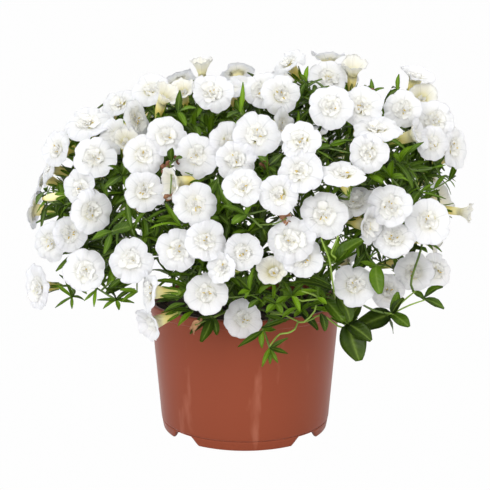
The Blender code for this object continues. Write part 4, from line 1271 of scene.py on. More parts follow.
def grid_normals(grid, round_about):
    if round_about:
        wrapped = np.concatenate([grid[:, -1:], grid, grid[:, :1]], 1)
        across = wrapped[:, 2:] - wrapped[:, :-2]
    else:
        across = np.gradient(grid, axis=1)
    normal = np.cross(np.gradient(grid, axis=0), across)
    return normal / (np.linalg.norm(normal, axis=-1)[..., None] + 1e-12)


def bloom_corolla(piece, bloom, frame, rng, around, along_it):
    """The outer ring of five broad lobes, each with a shallow notch, folds and a wavy rim."""
    radius = bloom.radius
    turn = turns(around)
    share = np.linspace(0, 1, along_it)[:, None] ** 0.8
    lobe = np.round(turn / LOBE_TURN).astype(int) % LOBES
    across = (turn / LOBE_TURN - np.round(turn / LOBE_TURN)) * 2
    size = rng.uniform(0.91, 1.02, LOBES)[lobe]
    notch = np.exp(-((across / 0.2) ** 2))
    edge = size * (1 - rng.uniform(0.07, 0.14) * np.abs(across) ** 3.2 - 0.03 * notch)
    edge += 0.022 * np.sin(3 * turn + rng.uniform(0, 6)) + 0.008 * np.sin(17 * turn + rng.uniform(0, 6))
    out = radius * (COROLLA_START + (edge - COROLLA_START) * share)
    bulge = rng.uniform(0.03, 0.08) * radius
    droop = rng.uniform(-0.10, 0.20, LOBES)[lobe] * radius + rng.uniform(-0.03, 0.07) * radius
    tilt = rng.uniform(0.3, 0.9) * MM * rng.choice([-1, 1])
    height = -THROAT_SINK * (1 - share) ** 2 + bulge * np.sin(np.pi * share) - droop * share**3
    height = height + bloom.stand * share**0.8 + tilt * across * share**2
    height = height - 0.3 * MM * np.exp(-((across / 0.13) ** 2)) * share * (1.15 - share)
    for waves, size in ((4, 0.45), (7, 0.4), (12, 0.28), (21, 0.14)):
        phase = rng.uniform(0, 6) + rng.uniform(-1.5, 1.5) * share
        height = height + size * MM * np.sin(waves * turn + phase) * share**2.2
    flat = np.stack([out * np.cos(turn), out * np.sin(turn), height], -1)
    layer = 0.0 if bloom.opening > HALF_OPEN else FUNNEL
    marks = [out / radius, turn / (2 * np.pi), layer, rows(0, 1)[:, None, None]]
    piece.sheet(np.array(bloom.centre) + flat @ frame, SHEET, PETAL, marks, True)


def bloom_tube(piece, bloom, frame, sides):
    """The tube, narrow behind the bloom and flaring into its throat, bent the way of its stalk."""
    share = np.linspace(0, 1, 7)
    end, start = TUBE_END_RADIUS, bloom.radius * (COROLLA_START + 0.05)
    size = end + (start - end) * (1 - share) ** 2.6 + 0.5 * MM * np.sin(np.pi * share)
    way = frame[2] * -1
    back = np.array(bloom.back)
    turn = turns(sides)
    grid = []
    for part, wide in zip(share, size):
        heading = unit(way * (1 - part) + back * part)
        side = unit(frame[0] - heading * frame[0].dot(heading))
        over = np.cross(side, heading)
        bend = way * part * (1 - part) * TUBE_BOW * TUBE_LENGTH
        middle = np.array(bloom.centre) - frame[2] * 1.2 * MM * (1 - part) + back * part * TUBE_LENGTH
        ring = np.outer(np.cos(turn), side) - np.outer(np.sin(turn), over)
        grid.append(middle + bend + ring * wide)
    grid = np.array(grid)[::-1]
    marks = [share[::-1, None], turn / (2 * np.pi), TUBE, 0.0]
    piece.sheet(grid, 2 * SHEET, PETAL, marks, True)


def blade_grid(count, wide):
    """Shares along a blade from its root, and across it from side to side, as a column and a row."""
    return np.linspace(0, 1, count)[:, None], np.linspace(-1, 1, wide)[None]


def inner_petal(piece, bloom, frame, rng, turn, spec, detail, heart=1.0, shift=(0.0, 0.0)):
    """One ruffled petal of the rosette, rising from the throat and bending outwards."""
    length, width, lean_low, lean_high, start, layer = spec
    radius = bloom.radius
    length = length * radius * heart * rng.uniform(0.68, 1.2)
    width = width * radius * heart * rng.uniform(0.7, 1.25)
    along_it, side = blade_grid(*detail)
    low = math.radians(lean_low + rng.uniform(-8, 8))
    high = math.radians(lean_high + rng.uniform(-16, 14))
    half = width / 2 * (0.3 + 0.7 * np.sin(np.pi * 0.6 * along_it**0.9))
    reach = along_it * (1 - 0.20 * side**2 * along_it - 0.07 * np.exp(-((side / 0.3) ** 2)) * along_it**3)
    bend = low + (high - low) * reach
    middle = (low + bend) / 2
    out = start * radius + length * reach * np.cos(middle)
    rise = length * reach * np.sin(middle) - 1.5 * MM
    lift = rng.uniform(-0.10, 0.30) * half * side**2
    for waves, size in ((1.6, 0.6), (3.6, 0.4)):
        phase = rng.uniform(0, 6.3) + rng.uniform(1, 3) * along_it
        lift = lift + size * MM * np.sin(waves * side * 1.6 + phase) * along_it**1.6
    twist = rng.uniform(-0.25, 0.25) * side * half * along_it
    out = out - (lift + twist) * np.sin(bend)
    rise = rise + (lift + twist) * np.cos(bend)
    rise = rise + bloom.stand * np.clip(out / radius, 0, 1)
    aside = side * half * (0.75 + 0.25 * bloom.opening)
    local = np.stack(np.broadcast_arrays(out, aside, rise), -1)
    angle = math.radians(turn)
    spin = rows((math.cos(angle), math.sin(angle), 0), (-math.sin(angle), math.cos(angle), 0), (0, 0, 1))
    local = local @ spin + rows(*shift, 0) * radius
    grid = np.array(bloom.centre) + local @ frame
    piece.sheet(grid, SHEET, PETAL, [along_it, 0.5 + 0.1 * side, layer, 0.0])


def fine_bloom(piece, bloom, rng, near):
    """A double bloom: its corolla and tube, and rings of ever smaller petals in its middle."""
    frame = bloom_frame(bloom)
    around, along_it, sides, detail = NEAR_BLOOM if near else FAR_BLOOM
    bloom_corolla(piece, bloom, frame, rng, around, along_it)
    bloom_tube(piece, bloom, frame, sides)
    layers = ROSETTE if bloom.opening > HALF_OPEN else ROSETTE[1:]
    heart = rng.uniform(0.85, 1.2)
    shift = rng.uniform(-0.08, 0.08, 2)
    for count, spec in layers:
        first = rng.uniform(0, 360)
        for number in range(count if near else count - 1):
            turn = first + 360 * number / count + rng.uniform(-22, 22)
            inner_petal(piece, bloom, frame, rng, turn, spec, detail, heart, shift)
    if near:
        gold_flecks(piece, bloom, frame, rng)


def gold_flecks(piece, bloom, frame, rng):
    """Up to three yellow folds that show between the petals of the rosette."""
    for _ in range(rng.integers(1, 4)):
        turn, out = rng.uniform(0, 2 * math.pi), rng.uniform(0.06, 0.24) * bloom.radius
        way = rows(math.cos(turn), math.sin(turn), rng.uniform(0.1, 0.6))
        start = rows(math.cos(turn) * out, math.sin(turn) * out, rng.uniform(-0.3, 0.5) * MM)
        run = start + np.outer((-1.2, -0.5, 0.5, 1.2), way) * rng.uniform(0.4, 0.9) * MM
        place = np.array(bloom.centre) + run @ frame
        piece.tube(place, rows(0.15, 0.42, 0.4, 0.12) * MM, TUBE_SIDES, PETAL, [1.0, 0.5, FLECK, 0.0])


def bloom_frame(bloom):
    aside, over = across_and_over(bloom.face, bloom.spin)
    return rows(aside, over, bloom.face)


def smooth_run(points, radii, step):
    """Points and radii along a smooth curve through a branch's points."""
    points = [np.array(point, float) for point in points]
    ends = [2 * points[0] - points[1], *points, 2 * points[-1] - points[-2]]
    places, sizes = [], []
    for number in range(1, len(ends) - 2):
        p0, p1, p2, p3 = ends[number - 1:number + 3]
        count = max(2, int(np.linalg.norm(p2 - p1) / step))
        for part in np.arange(count) / count:
            square, cube = part * part, part**3
            place = 0.5 * (2 * p1 + (p2 - p0) * part + (2 * p0 - 5 * p1 + 4 * p2 - p3) * square
                           + (3 * p1 - p0 - 3 * p2 + p3) * cube)
            places.append(place)
            sizes.append(radii[number - 1] * (1 - part) + radii[number] * part)
    return np.array([*places, points[-1]]), np.array([*sizes, radii[-1]])


def fine_leaf(piece, leaf, rng, tone_and_shade):
    """A folded, arched blade with a blunt tip."""
    base, tip, up = (np.array(each) for each in (leaf.base, leaf.tip, leaf.up))
    run = tip - base
    length = np.linalg.norm(run)
    run /= length
    side = unit(np.cross(run, up))
    over = np.cross(side, run)
    large = leaf.width > LARGE_LEAF
    seen = not hidden_from_the_eye(leaf.tip) and crown_level(leaf.tip) > SEEN_LEVEL
    along_it, across = blade_grid(*(LARGE_DETAIL if large else SEEN_DETAIL if seen else DEEP_DETAIL))
    blunt = 0.7 if leaf.width > SLIM_LEAF else 1.0
    full = LARGE_FULL if large else SMALL_FULL
    half = full * leaf.width / 2 * np.sin(np.pi * (0.05 + 0.90 * along_it**0.92)) ** blunt
    half[0] = LEAF_FOOT
    fold = rng.uniform(0.10, 0.35)
    arch = rng.uniform(0.03, 0.13) * length
    bow = rng.uniform(-0.06, 0.06) * length
    rise = arch * 4 * along_it * (1 - along_it) + half * fold * np.abs(across)
    rise = rise + 0.05 * leaf.width * np.sin(along_it * 9 + rng.uniform(0, 6)) * across
    shift = bow * 4 * along_it * (1 - along_it) + half * across * math.cos(fold)
    grid = base + run * (length * along_it)[..., None] + side * shift[..., None] + over * rise[..., None]
    piece.sheet(grid, LEAF_SHEET, LEAF, [along_it, np.abs(across), tone_and_shade])


def fine_sepals(piece, root, away, rng, scale=1.0):
    """The calyx: a small green cup, with five narrow sepals hugging the tube."""
    root, away = np.array(root), np.array(away)
    aside, over = (np.array(each) for each in across_and_over(Vector(away), rng.uniform(0, LOBE_DEGREES)))
    cup = [root - away * 1.5 * MM, root, root + away * 2.2 * MM, root + away * 4 * MM]
    piece.tube(cup, rows(0.9, 1.7, 2.3, 2.2) * scale * MM, 8, STALK, [0.5, 0.5, SEPAL_TINT])
    along_it, across = blade_grid(5, 3)
    for number in range(LOBES):
        angle = math.radians(LOBE_DEGREES * number + rng.uniform(-8, 8))
        out = aside * math.cos(angle) + over * math.sin(angle)
        side = np.cross(away, out)
        length = rng.uniform(9, 12) * scale**2 * MM
        flare = rng.uniform(0.02, 0.28)
        half = 1.05 * MM * np.sin(np.pi * (0.14 + 0.80 * along_it)) ** 0.6
        lift = 2.3 * scale * MM + length * flare * along_it**1.6 + 0.25 * MM * np.abs(across)
        grid = root + away * (2 * MM + length * along_it)[..., None] + out * lift[..., None]
        grid = grid + side * (half * across)[..., None]
        piece.sheet(grid, SEPAL_SHEET, LEAF, [along_it, np.abs(across), SEPAL_TINT])


def fine_bud(piece, base, tip):
    """A pointed cream bud standing in a small calyx."""
    base, tip = np.array(base), np.array(tip)
    share = np.linspace(0, 1, 9)
    size = BUD_RADIUS * np.sin(np.pi * (0.16 + 0.78 * share**1.1)) ** 0.8
    points = base + (tip - base) * share[:, None]
    piece.tube(points, size, 10, BUD, [share, 0.5, 0.5])


def new_material(name):
    material = bpy.data.materials.new(name)
    material.use_nodes = True
    return material, material.node_tree, material.node_tree.nodes["Principled BSDF"]


def node(tree, kind, inputs=(), **settings):
    """A new node with its settings, and its inputs set to numbers or linked to other outputs."""
    made = tree.nodes.new(kind)
    for key, value in settings.items():
        setattr(made, key, value)
    for key, value in dict(inputs).items():
        if isinstance(value, bpy.types.NodeSocket):
            tree.links.new(value, made.inputs[key])
        elif value is not None:
            made.inputs[key].default_value = value
    return made


def attribute(tree, name):
    return node(tree, "ShaderNodeAttribute", attribute_name=name).outputs["Fac"]


def calc(tree, operation, first, second=None, third=None):
    inputs = {0: first, 1: second, 2: third}
    return node(tree, "ShaderNodeMath", inputs, operation=operation).outputs[0]


def times(tree, first, second):
    return calc(tree, "MULTIPLY", first, second)


def plus(tree, first, second):
    return calc(tree, "ADD", first, second)


def tune(shader, even):
    """Sets a shader's inputs that are the same all over."""
    for key, value in even.items():
        shader.inputs[key].default_value = value


def paint(tree, shader, colour, even):
    tree.links.new(colour, shader.inputs["Base Color"])
    tune(shader, even)


def ramp(tree, value, *stops):
    """A colour or grey ramp through stops of (place, colour)."""
    made = node(tree, "ShaderNodeValToRGB", {0: value})
    band = made.color_ramp.elements
    while len(band) < len(stops):
        band.new(0.5)
    for element, (place, colour) in zip(band, stops):
        element.position = place
        element.color = (*colour, 1) if isinstance(colour, tuple) else (colour, colour, colour, 1)
    return made.outputs[0]


def mix(tree, share, first, second, blend="MIX"):
    made = tree.nodes.new("ShaderNodeMix")
    made.data_type = "RGBA"
    made.blend_type = blend
    for key, value in ((0, share), (6, first), (7, second)):
        if isinstance(value, bpy.types.NodeSocket):
            tree.links.new(value, made.inputs[key])
        else:
            made.inputs[key].default_value = (*value, 1) if isinstance(value, tuple) else value
    return made.outputs[2]


def noise_at(tree, scale, detail=3.0, stretch=None):
    """Noise over the object's own coordinates, which ride with it."""
    place = node(tree, "ShaderNodeTexCoord").outputs["Object"]
    if stretch:
        place = node(tree, "ShaderNodeMapping", {0: place, 3: stretch}).outputs[0]
    return node(tree, "ShaderNodeTexNoise", {0: place, 2: scale, 3: detail}).outputs[0]


def bump(tree, shader, height, distance, strength=1.0):
    made = node(tree, "ShaderNodeBump", {"Height": height, "Distance": distance, "Strength": strength})
    tree.links.new(made.outputs[0], shader.inputs["Normal"])
    return made.outputs[0]


def let_light_through(tree, shader, colour, share, normal):
    """Mixes in light that comes through a thin blade or petal."""
    through = node(tree, "ShaderNodeBsdfTranslucent", {"Color": colour, "Normal": normal})
    mixed = node(tree, "ShaderNodeMixShader", {0: share, 1: shader.outputs[0], 2: through.outputs[0]})
    tree.links.new(mixed.outputs[0], tree.nodes["Material Output"].inputs[0])


def petal_material():
    material, tree, shader = new_material("petal")
    reach, turn, layer, back = (attribute(tree, mark) for mark in BLOOM_MARKS)
    patch = noise_at(tree, 160.0)
    vein = calc(tree, "SINE", plus(tree, times(tree, turn, 2 * math.pi * VEINS), times(tree, patch, 5.0)))
    lines = calc(tree, "SMOOTH_MAX", vein, 0.35, 0.5)
    white = mix(tree, patch, PETAL_SHADE, PETAL_WHITE)
    white = mix(tree, times(tree, lines, 0.08), white, PETAL_VEIN)
    middle = calc(tree, "WRAP", times(tree, turn, float(LOBES)), 0.5, -0.5)
    middle = calc(tree, "ABSOLUTE", middle)
    line = ramp(tree, middle, (0.0, 0.6), (0.055, 0.0))
    fade = ramp(tree, reach, (0.45, 1.0), (0.92, 0.0))
    white = mix(tree, times(tree, line, fade), white, PETAL_VEIN)
    outer = ramp(tree, reach, (0.28, PETAL_THROAT), (0.38, PETAL_CREAM), (0.50, WHITE))
    behind = ramp(tree, reach, (0.28, PETAL_THROAT), (0.46, FUNNEL_CREAM), (0.8, WHITE))
    outer = mix(tree, back, outer, behind)
    funnel = ramp(tree, reach, (0.28, PETAL_THROAT), (0.5, FUNNEL_CREAM), (1.0, PETAL_CREAM))
    outer = mix(tree, calc(tree, "GREATER_THAN", layer, FUNNEL / 2), outer, funnel)
    inner = ramp(tree, reach, (0.0, PETAL_GOLD), (0.16, PETAL_THROAT), (0.32, PETAL_CREAM), (0.65, WHITE))
    tube = ramp(tree, reach, (0.0, TUBE_PALE), (0.35, TUBE_YELLOW), (1.0, TUBE_GREEN))
    is_inner = calc(tree, "GREATER_THAN", layer, 0.5)
    is_tube = calc(tree, "LESS_THAN", layer, TUBE / 2)
    tone_and_shade = mix(tree, is_inner, outer, inner)
    white = mix(tree, is_inner, white, PETAL_HEART)
    colour = mix(tree, 1.0, white, tone_and_shade, "MULTIPLY")
    colour = mix(tree, is_tube, colour, tube)
    colour = mix(tree, calc(tree, "LESS_THAN", layer, -1.5), colour, PETAL_GOLD)
    paint(tree, shader, colour, PETAL_SURFACE)
    height = plus(tree, times(tree, lines, 0.5), patch)
    normal = bump(tree, shader, height, 0.25 * MM, 0.6)
    let_light_through(tree, shader, colour, 0.5, normal)
    return material


def withered_material():
    material, tree, shader = new_material("withered_petal")
    patch = noise_at(tree, 420.0)
    pale = attribute(tree, BLOOM_MARKS[2])
    value = plus(tree, times(tree, patch, 0.6), times(tree, pale, 0.5))
    colour = ramp(tree, value, (0.3, WITHERED_BROWN), (0.8, WITHERED_TAN))
    paint(tree, shader, colour, {"Roughness": 0.8})
    bump(tree, shader, patch, 0.4 * MM)
    return material


def leaf_material():
    material, tree, shader = new_material("leaf")
    along_it, across, tone_and_shade = (attribute(tree, mark) for mark in GREEN_MARKS)
    patch = noise_at(tree, 90.0)
    # The number that sets the green holds the leaf's own tone and painted shade from deep in the crown and
    # below the rim
    value = plus(tree, tone_and_shade, times(tree, calc(tree, "SUBTRACT", patch, 0.5), 0.5))
    bright = ramp(tree, value, (0.1, 0.05), (0.9, 0.75))
    blade = ramp(tree, value, (0.0, LEAF_DARK), (0.45, LEAF_MIDDLE), (1.0, LEAF_BRIGHT))
    blade = mix(tree, times(tree, along_it, 0.25), blade, LEAF_TIP)
    rib = ramp(tree, across, (0.0, 1.0), (0.16, 0.25), (0.3, 0.0))
    colour = mix(tree, times(tree, rib, 0.5), blade, LEAF_RIB)
    paint(tree, shader, colour, {"Roughness": 0.42, "Specular IOR Level": 0.2})
    veins = calc(tree, "SINE", plus(tree, times(tree, along_it, 42.0), times(tree, across, -9.0)))
    height = plus(tree, times(tree, veins, 0.3), patch)
    normal = bump(tree, shader, height, 0.3 * MM, 0.6)
    let_light_through(tree, shader, mix(tree, bright, colour, LEAF_GLOW), 0.28, normal)
    return material


def stalk_material():
    material, tree, shader = new_material("stalk")
    patch = noise_at(tree, 220.0)
    tone_and_shade = attribute(tree, GREEN_MARKS[2])
    value = plus(tree, tone_and_shade, times(tree, calc(tree, "SUBTRACT", patch, 0.5), 0.6))
    colour = ramp(tree, value, (0.1, STALK_DARK), (0.9, STALK_PALE))
    paint(tree, shader, colour, {"Roughness": 0.5})
    bump(tree, shader, patch, 0.2 * MM)
    return material


def bud_material():
    material, tree, shader = new_material("bud")
    along_it = attribute(tree, GREEN_MARKS[0])
    patch = noise_at(tree, 300.0)
    colour = ramp(tree, along_it, (0.0, STALK_PALE), (0.28, BUD_CREAM), (0.85, BUD_YELLOW), (0.97, BUD_TIP))
    colour = mix(tree, times(tree, patch, 0.3), colour, STALK_PALE)
    paint(tree, shader, colour, {"Roughness": 0.55})
    bump(tree, shader, patch, 0.3 * MM)
    return material


def pot_material():
    material, tree, shader = new_material("pot_plastic")
    broad = noise_at(tree, 9.0, 2.0)
    fine = noise_at(tree, 900.0, 2.0)
    streak = noise_at(tree, 60.0, 4.0, (1.0, 1.0, 0.22))
    colour = mix(tree, broad, POT_DARK, POT_PALE)
    scuff = ramp(tree, streak, (0.62, 0.0), (0.74, 0.35))
    colour = mix(tree, scuff, colour, POT_SCUFF)
    paint(tree, shader, colour, POT_SURFACE)
    rough = node(tree, "ShaderNodeMapRange", {0: streak, 3: 0.62, 4: 0.67}).outputs[0]
    tree.links.new(rough, shader.inputs["Roughness"])
    bump(tree, shader, fine, 0.05 * MM, 0.5)
    return material


def soil_material():
    material, tree, shader = new_material("soil_crumb")
    coarse, fine = noise_at(tree, 130.0, 5.0), noise_at(tree, 700.0, 4.0)
    colour = ramp(tree, coarse, (0.3, SOIL_BLACK), (0.55, SOIL_BROWN), (0.8, SOIL_FIBRE))
    paint(tree, shader, colour, {"Roughness": 0.95})
    bump(tree, shader, plus(tree, coarse, times(tree, fine, 0.4)), 1.2 * MM)
    return material


def turned(profile, sides):
    """A profile of (out, up) turned round the upright axis, as a closed grid of quads."""
    turn = turns(sides)
    out, height = np.array(profile)[:, :, None].swapaxes(0, 1)
    grid = np.stack([out * np.cos(turn), out * np.sin(turn), height + 0 * turn], -1)
    return grid, ring_numbers(len(profile), sides)


def arc(middle, radius, start, end, count):
    """Points of an arc round a middle, given as (out, up), between two angles in degrees."""
    points = []
    for step in range(count):
        turn = math.radians(start + (end - start) * step / (count - 1))
        points.append((middle[0] + radius * math.cos(turn), middle[1] + radius * math.sin(turn)))
    return points


def pot_profile():
    """The pot's outline as (out, up), from its floor over the lip down to the foot and in again.

    It comes with the number of the foot ring's first point, and of the first one after the ring.
    """
    body_top = RIM_RADIUS - LIP_OVERHANG
    inner_top = body_top - WALL
    lip_low = POT_HEIGHT - LIP_HEIGHT
    seam_top = FOOT_HEIGHT + SEAM_HEIGHT
    slope = (body_top - BODY_FOOT_RADIUS) / (lip_low - seam_top)
    profile = [(1 * MM, FLOOR_TOP), (BODY_FOOT_RADIUS - WALL - 1 * MM, FLOOR_TOP)]
    profile += [(BODY_FOOT_RADIUS - WALL, FLOOR_TOP + 1 * MM)]
    profile += [(inner_top - 0.6 * MM, POT_HEIGHT - 4 * MM), (inner_top, POT_HEIGHT - INNER_ROUND)]
    profile += arc((inner_top + INNER_ROUND, POT_HEIGHT - INNER_ROUND), INNER_ROUND, 180, 90, 4)
    profile += arc((RIM_RADIUS - LIP_ROUND, POT_HEIGHT - LIP_ROUND), LIP_ROUND, 90, 0, 6)
    profile += arc((RIM_RADIUS - 0.9 * MM, lip_low + UNDER_ROUND), UNDER_ROUND, 0, -90, 5)
    profile += arc((body_top + EDGE_ROUND, lip_low - EDGE_ROUND), EDGE_ROUND, 90, 180, 3)
    for part in (0.02, 0.1, 0.3, 0.5, 0.7, 0.9, 0.98):
        height = lip_low - (lip_low - seam_top) * part
        profile.append((BODY_FOOT_RADIUS + slope * (height - seam_top), height))
    profile += arc((BODY_FOOT_RADIUS - SEAM_ROUND, seam_top + SEAM_ROUND), SEAM_ROUND, 0, -90, 4)
    groove = BODY_FOOT_RADIUS - SEAM_DEPTH
    profile += [(groove, seam_top), (groove, FOOT_HEIGHT)]
    foot_start = len(profile)
    profile += arc((BODY_FOOT_RADIUS - 0.7 * MM, FOOT_HEIGHT - EDGE_ROUND), EDGE_ROUND, 90, 0, 3)
    for part in (0.25, 0.5, 0.75):
        profile.append((BODY_FOOT_RADIUS - 0.3 * MM - 1.1 * MM * part, FOOT_HEIGHT * (1 - part)))
    profile += arc((FOOT_RADIUS - EDGE_ROUND, EDGE_ROUND), EDGE_ROUND, 0, -90, 3)
    profile += [(FOOT_RADIUS - WALL, 0.0)]
    foot_end = len(profile)
    profile += [(FOOT_RADIUS - WALL, FOOT_HEIGHT + 0.2 * MM), (1 * MM, FOOT_HEIGHT + 0.2 * MM)]
    return profile, foot_start, foot_end


def fine_pot():
    """The pot: a tapering wall with a rounded lip, a dark seam and a foot ring cut into four feet."""
    profile, foot_start, foot_end = pot_profile()
    grid, number = turned(profile, POT_ROUND)
    off = np.abs(turns(POT_ROUND) % (np.pi / 2) - np.pi / 4) * FOOT_RADIUS
    slant = (NOTCH_WIDTH_FOOT / 2 - off) / ((NOTCH_WIDTH_FOOT - NOTCH_WIDTH_TOP) / 2)
    floor = np.clip(slant, 0, 1) * (FOOT_HEIGHT - 0.5 * MM)
    feet = grid[foot_start:foot_end, :, 2]
    grid[foot_start:foot_end, :, 2] = np.maximum(feet, floor)
    piece = Piece(GREEN_MARKS)
    piece.add(grid, capped(number), 0, PLAIN)
    pot = piece.build("fine_pot", [pot_material()])
    for hole in range(DRAINS):
        bore_drain(pot, 2 * math.pi * hole / DRAINS)
    pot.data.set_sharp_from_angle(angle=SHARP)
    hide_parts("pot")


def bore_drain(pot, turn):
    """Cuts a round drain hole through the pot's floor."""
    place = (DRAIN_CIRCLE * math.cos(turn), DRAIN_CIRCLE * math.sin(turn), FLOOR_TOP)
    bpy.ops.mesh.primitive_cylinder_add(vertices=32, radius=DRAIN_RADIUS, depth=10 * MM, location=place)
    cutter = bpy.context.object
    hole = pot.modifiers.new("hole", "BOOLEAN")
    hole.object = cutter
    bpy.context.view_layer.objects.active = pot
    bpy.ops.object.modifier_apply(modifier="hole")
    bpy.data.objects.remove(cutter)


def fine_soil(rng):
    """The root ball, with a lumpy, crumbly top."""
    low_out, top_out = BODY_FOOT_RADIUS - WALL - 1 * MM, RIM_RADIUS - LIP_OVERHANG - WALL - 1.2 * MM
    top = SOIL_TOP + 0.5 * MM
    profile = [(1 * MM, FLOOR_TOP + 1 * MM), (low_out, FLOOR_TOP + 1 * MM), (top_out, top - 2 * MM)]
    profile += [(top_out * (1 - step / SOIL_RINGS), top) for step in range(SOIL_RINGS)]
    grid, number = turned(profile, SOIL_ROUND)
    for place in grid[3:].reshape(-1, 3):
        lump = noise.noise(Vector(place) * 120) + 0.6 * noise.noise(Vector(place) * 330)
        place[2] += 2.2 * MM * lump
    piece = Piece(GREEN_MARKS)
    faces = quads(np.concatenate([number, number[:1]]))
    piece.add(grid, faces, 0, PLAIN)
    for _ in range(CRUMBS):
        out, turn = top_out * math.sqrt(rng.uniform(0, 0.97)), rng.uniform(0, 2 * math.pi)
        size = rng.uniform(0.8, 2.4) * MM
        middle = np.array([out * math.cos(turn), out * math.sin(turn), top + 0.3 * size])
        way = unit(rng.normal(size=3))
        run = middle + np.outer((-1, -0.5, 0.5, 1), way) * size
        radii = rows(0.35, 0.9, 0.8, 0.3) * size * rng.uniform(0.7, 1.1)
        piece.tube(run, radii, TUBE_SIDES, 0, PLAIN)
    soil = piece.build("fine_soil", [soil_material()])
    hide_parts("soil")


def strikes_petals(leaves, blooms, margin):
    """Which leaves come within a margin of any bloom's petals or tube."""
    places = np.array([leaf_places(leaf) for leaf in leaves])
    places[..., 3] = margin
    found = []
    for start in range(0, len(leaves), AT_ONCE):
        some = places[start:start + AT_ONCE]
        petals, tubes = strikes(some.reshape(-1, 4), blooms)
        found.append((petals | tubes).any(1).reshape(len(some), -1).any(1))
    return np.concatenate(found)


def covers_bloom(spots, blooms):
    """Which of the leaves or twigs, given by places on them, hide part of a bloom from the eye."""
    spots = spots - np.array(EYE)
    centres, faces, radii = columns(blooms, "centre", "face", "radius")
    centres = centres - np.array(EYE)
    behind = (centres * faces).sum(1) / (spots @ faces.T)
    hit = spots[:, :, None] * behind[..., None] - centres
    hidden = (behind > 1) & (np.linalg.norm(hit, axis=-1) < COVER_SHARE * radii)
    return hidden.any((1, 2))


def leaf_spots(leaves):
    return np.array([leaf_places(leaf) for leaf in leaves])[..., :3]


def twig_spots(branches):
    points = np.array([branch.points for branch in branches])
    return np.concatenate([points, (points[:, 1:] + points[:, :-1]) / 2], 1)


def clear_of_petals(branch, blooms):
    petals, tubes = strikes(branch_places(branch.points, 0.9 * MM), blooms)
    return not (petals | tubes).any()


def clear_of_rim(leaf):
    return clear_of_pot(leaf_places(leaf) - rows(0, 0, 0, 0.8 * MM))


def side_shoots(stems, blooms, in_front, rng):
    """Short leafy shoots that fill the crown between the twigs."""
    found = []
    for number, stem in enumerate(stems):
        for branch in stem.branches:
            for place, heading in along(branch.points, SHOOT_SPACING):
                if place.z < SOIL_TOP + SHOOTS_RISE:
                    continue
                aside, _ = across_and_over(heading, rng.uniform(0, 360))
                out = (place - CROWN_MIDDLE).normalized()
                way = (aside + heading * 0.5 + out * 0.5 + UP * 0.2).normalized()
                length = rng.uniform(*SHOOT_LENGTHS) * MM
                bend = Vector(rng.uniform(-SHOOT_BEND, SHOOT_BEND, 3))
                points = [place + (way * part + bend * part * part * 0.5) * length
                          for part in (0, 0.33, 0.67, 1)]
                if crown_level(points[-1]) < CROWN_FULL and clear_of_pot(branch_places(points, MM)):
                    found.append((number, Branch(points, [radius * MM for radius in SHOOT_TWIG])))
    covering = covers_bloom(twig_spots([branch for _, branch in found]), in_front)
    return [entry for entry, covers in zip(found, covering)
            if not covers and clear_of_petals(entry[1], blooms)]


def spiral_leaves(branches, rng, spacing, lengths=FINE_LENGTHS):
    """Leaves set in turn round each branch, and a tuft at the head of those that bear no bloom."""
    leaves = []
    for number, branch in branches:
        turn = rng.uniform(0, 360)
        spots = along(branch.leafy_points(), spacing)
        spots = [spot for spot in spots if spot[0].z > SOIL_TOP + LEAVES_RISE]
        if not branch.bears_bloom() and spots:
            spots += [(branch.points[-1], spots[-1][1])] * TUFT
        for place, heading in spots:
            turn += GOLDEN_DEGREES
            aside, _ = across_and_over(heading, turn)
            lean = rng.uniform(*LEAF_LEANS)
            way = (aside + heading * lean + UP * 0.2).normalized()
            length = rng.uniform(*lengths)
            width = length * rng.uniform(*LEAF_SHARES)
            leaf = leaf_between(place, place + way * length, width, heading * 0.7 + UP)
            leaves.append((number, leaf))
    return leaves


def low_stems(plant):
    """The bare light-green stems that cross one another over the pot's rim."""
    found = []
    for set_back, route in LOW_STEMS:
        points = [seen_on_crown(across, down, set_back) for across, down in route]
        stem, lead = plant.loose_route(points[0], LOOSE_BOW)
        points = lead + points[1:]
        found.append((stem, Branch(points, [LOW_TWIG] * (len(points) - 1) + [FINEST_TWIG])))
    return found


def low_leaves(plant):
    found = []
    for set_back, (base, tip, width) in LOW_LEAVES:
        root = seen_on_crown(*base, set_back)
        end = EYE + sight_line(*tip) * (root - EYE).length
        found.append((plant.nearest_spot(root)[2], facing_leaf(root, end, width * MM)))
    return found


def grow_foliage(plant, blooms, rng):
    """All the leaves of each stem: those of the solids, the crowded ones of the picture, and more."""
    sure = [(number, leaf) for number, stem in enumerate(plant.stems) for leaf in stem.leaves]
    in_front = [bloom for bloom in blooms if not hidden_from_the_eye(bloom.centre)]
    shoots = side_shoots(plant.stems, blooms, in_front, rng)
    branches = [(number, branch) for number, stem in enumerate(plant.stems) for branch in stem.branches]
    more = spiral_leaves(branches, rng, LEAF_STEP) + spiral_leaves(shoots, rng, 0.8 * LEAF_STEP)
    more = [entry for entry in more
            if DEEPEST_LEAF < crown_level(entry[1].tip) < LEAF_LIMIT and clear_of_rim(entry[1])]
    more += [entry for entry in spiral_leaves(branches, rng, CORE_STEP, CORE_LENGTHS)
             if crown_level(entry[1].tip) < CORE_FULL and clear_of_rim(entry[1])]
    covering = covers_bloom(leaf_spots([leaf for _, leaf in more]), in_front)
    more = [entry for entry, covers in zip(more, covering) if not covers]
    more += plant.crowded + low_leaves(plant)
    struck = strikes_petals([leaf for _, leaf in more], blooms, 0.2 * MM)
    return sure + [entry for entry, hit in zip(more, struck) if not hit], shoots


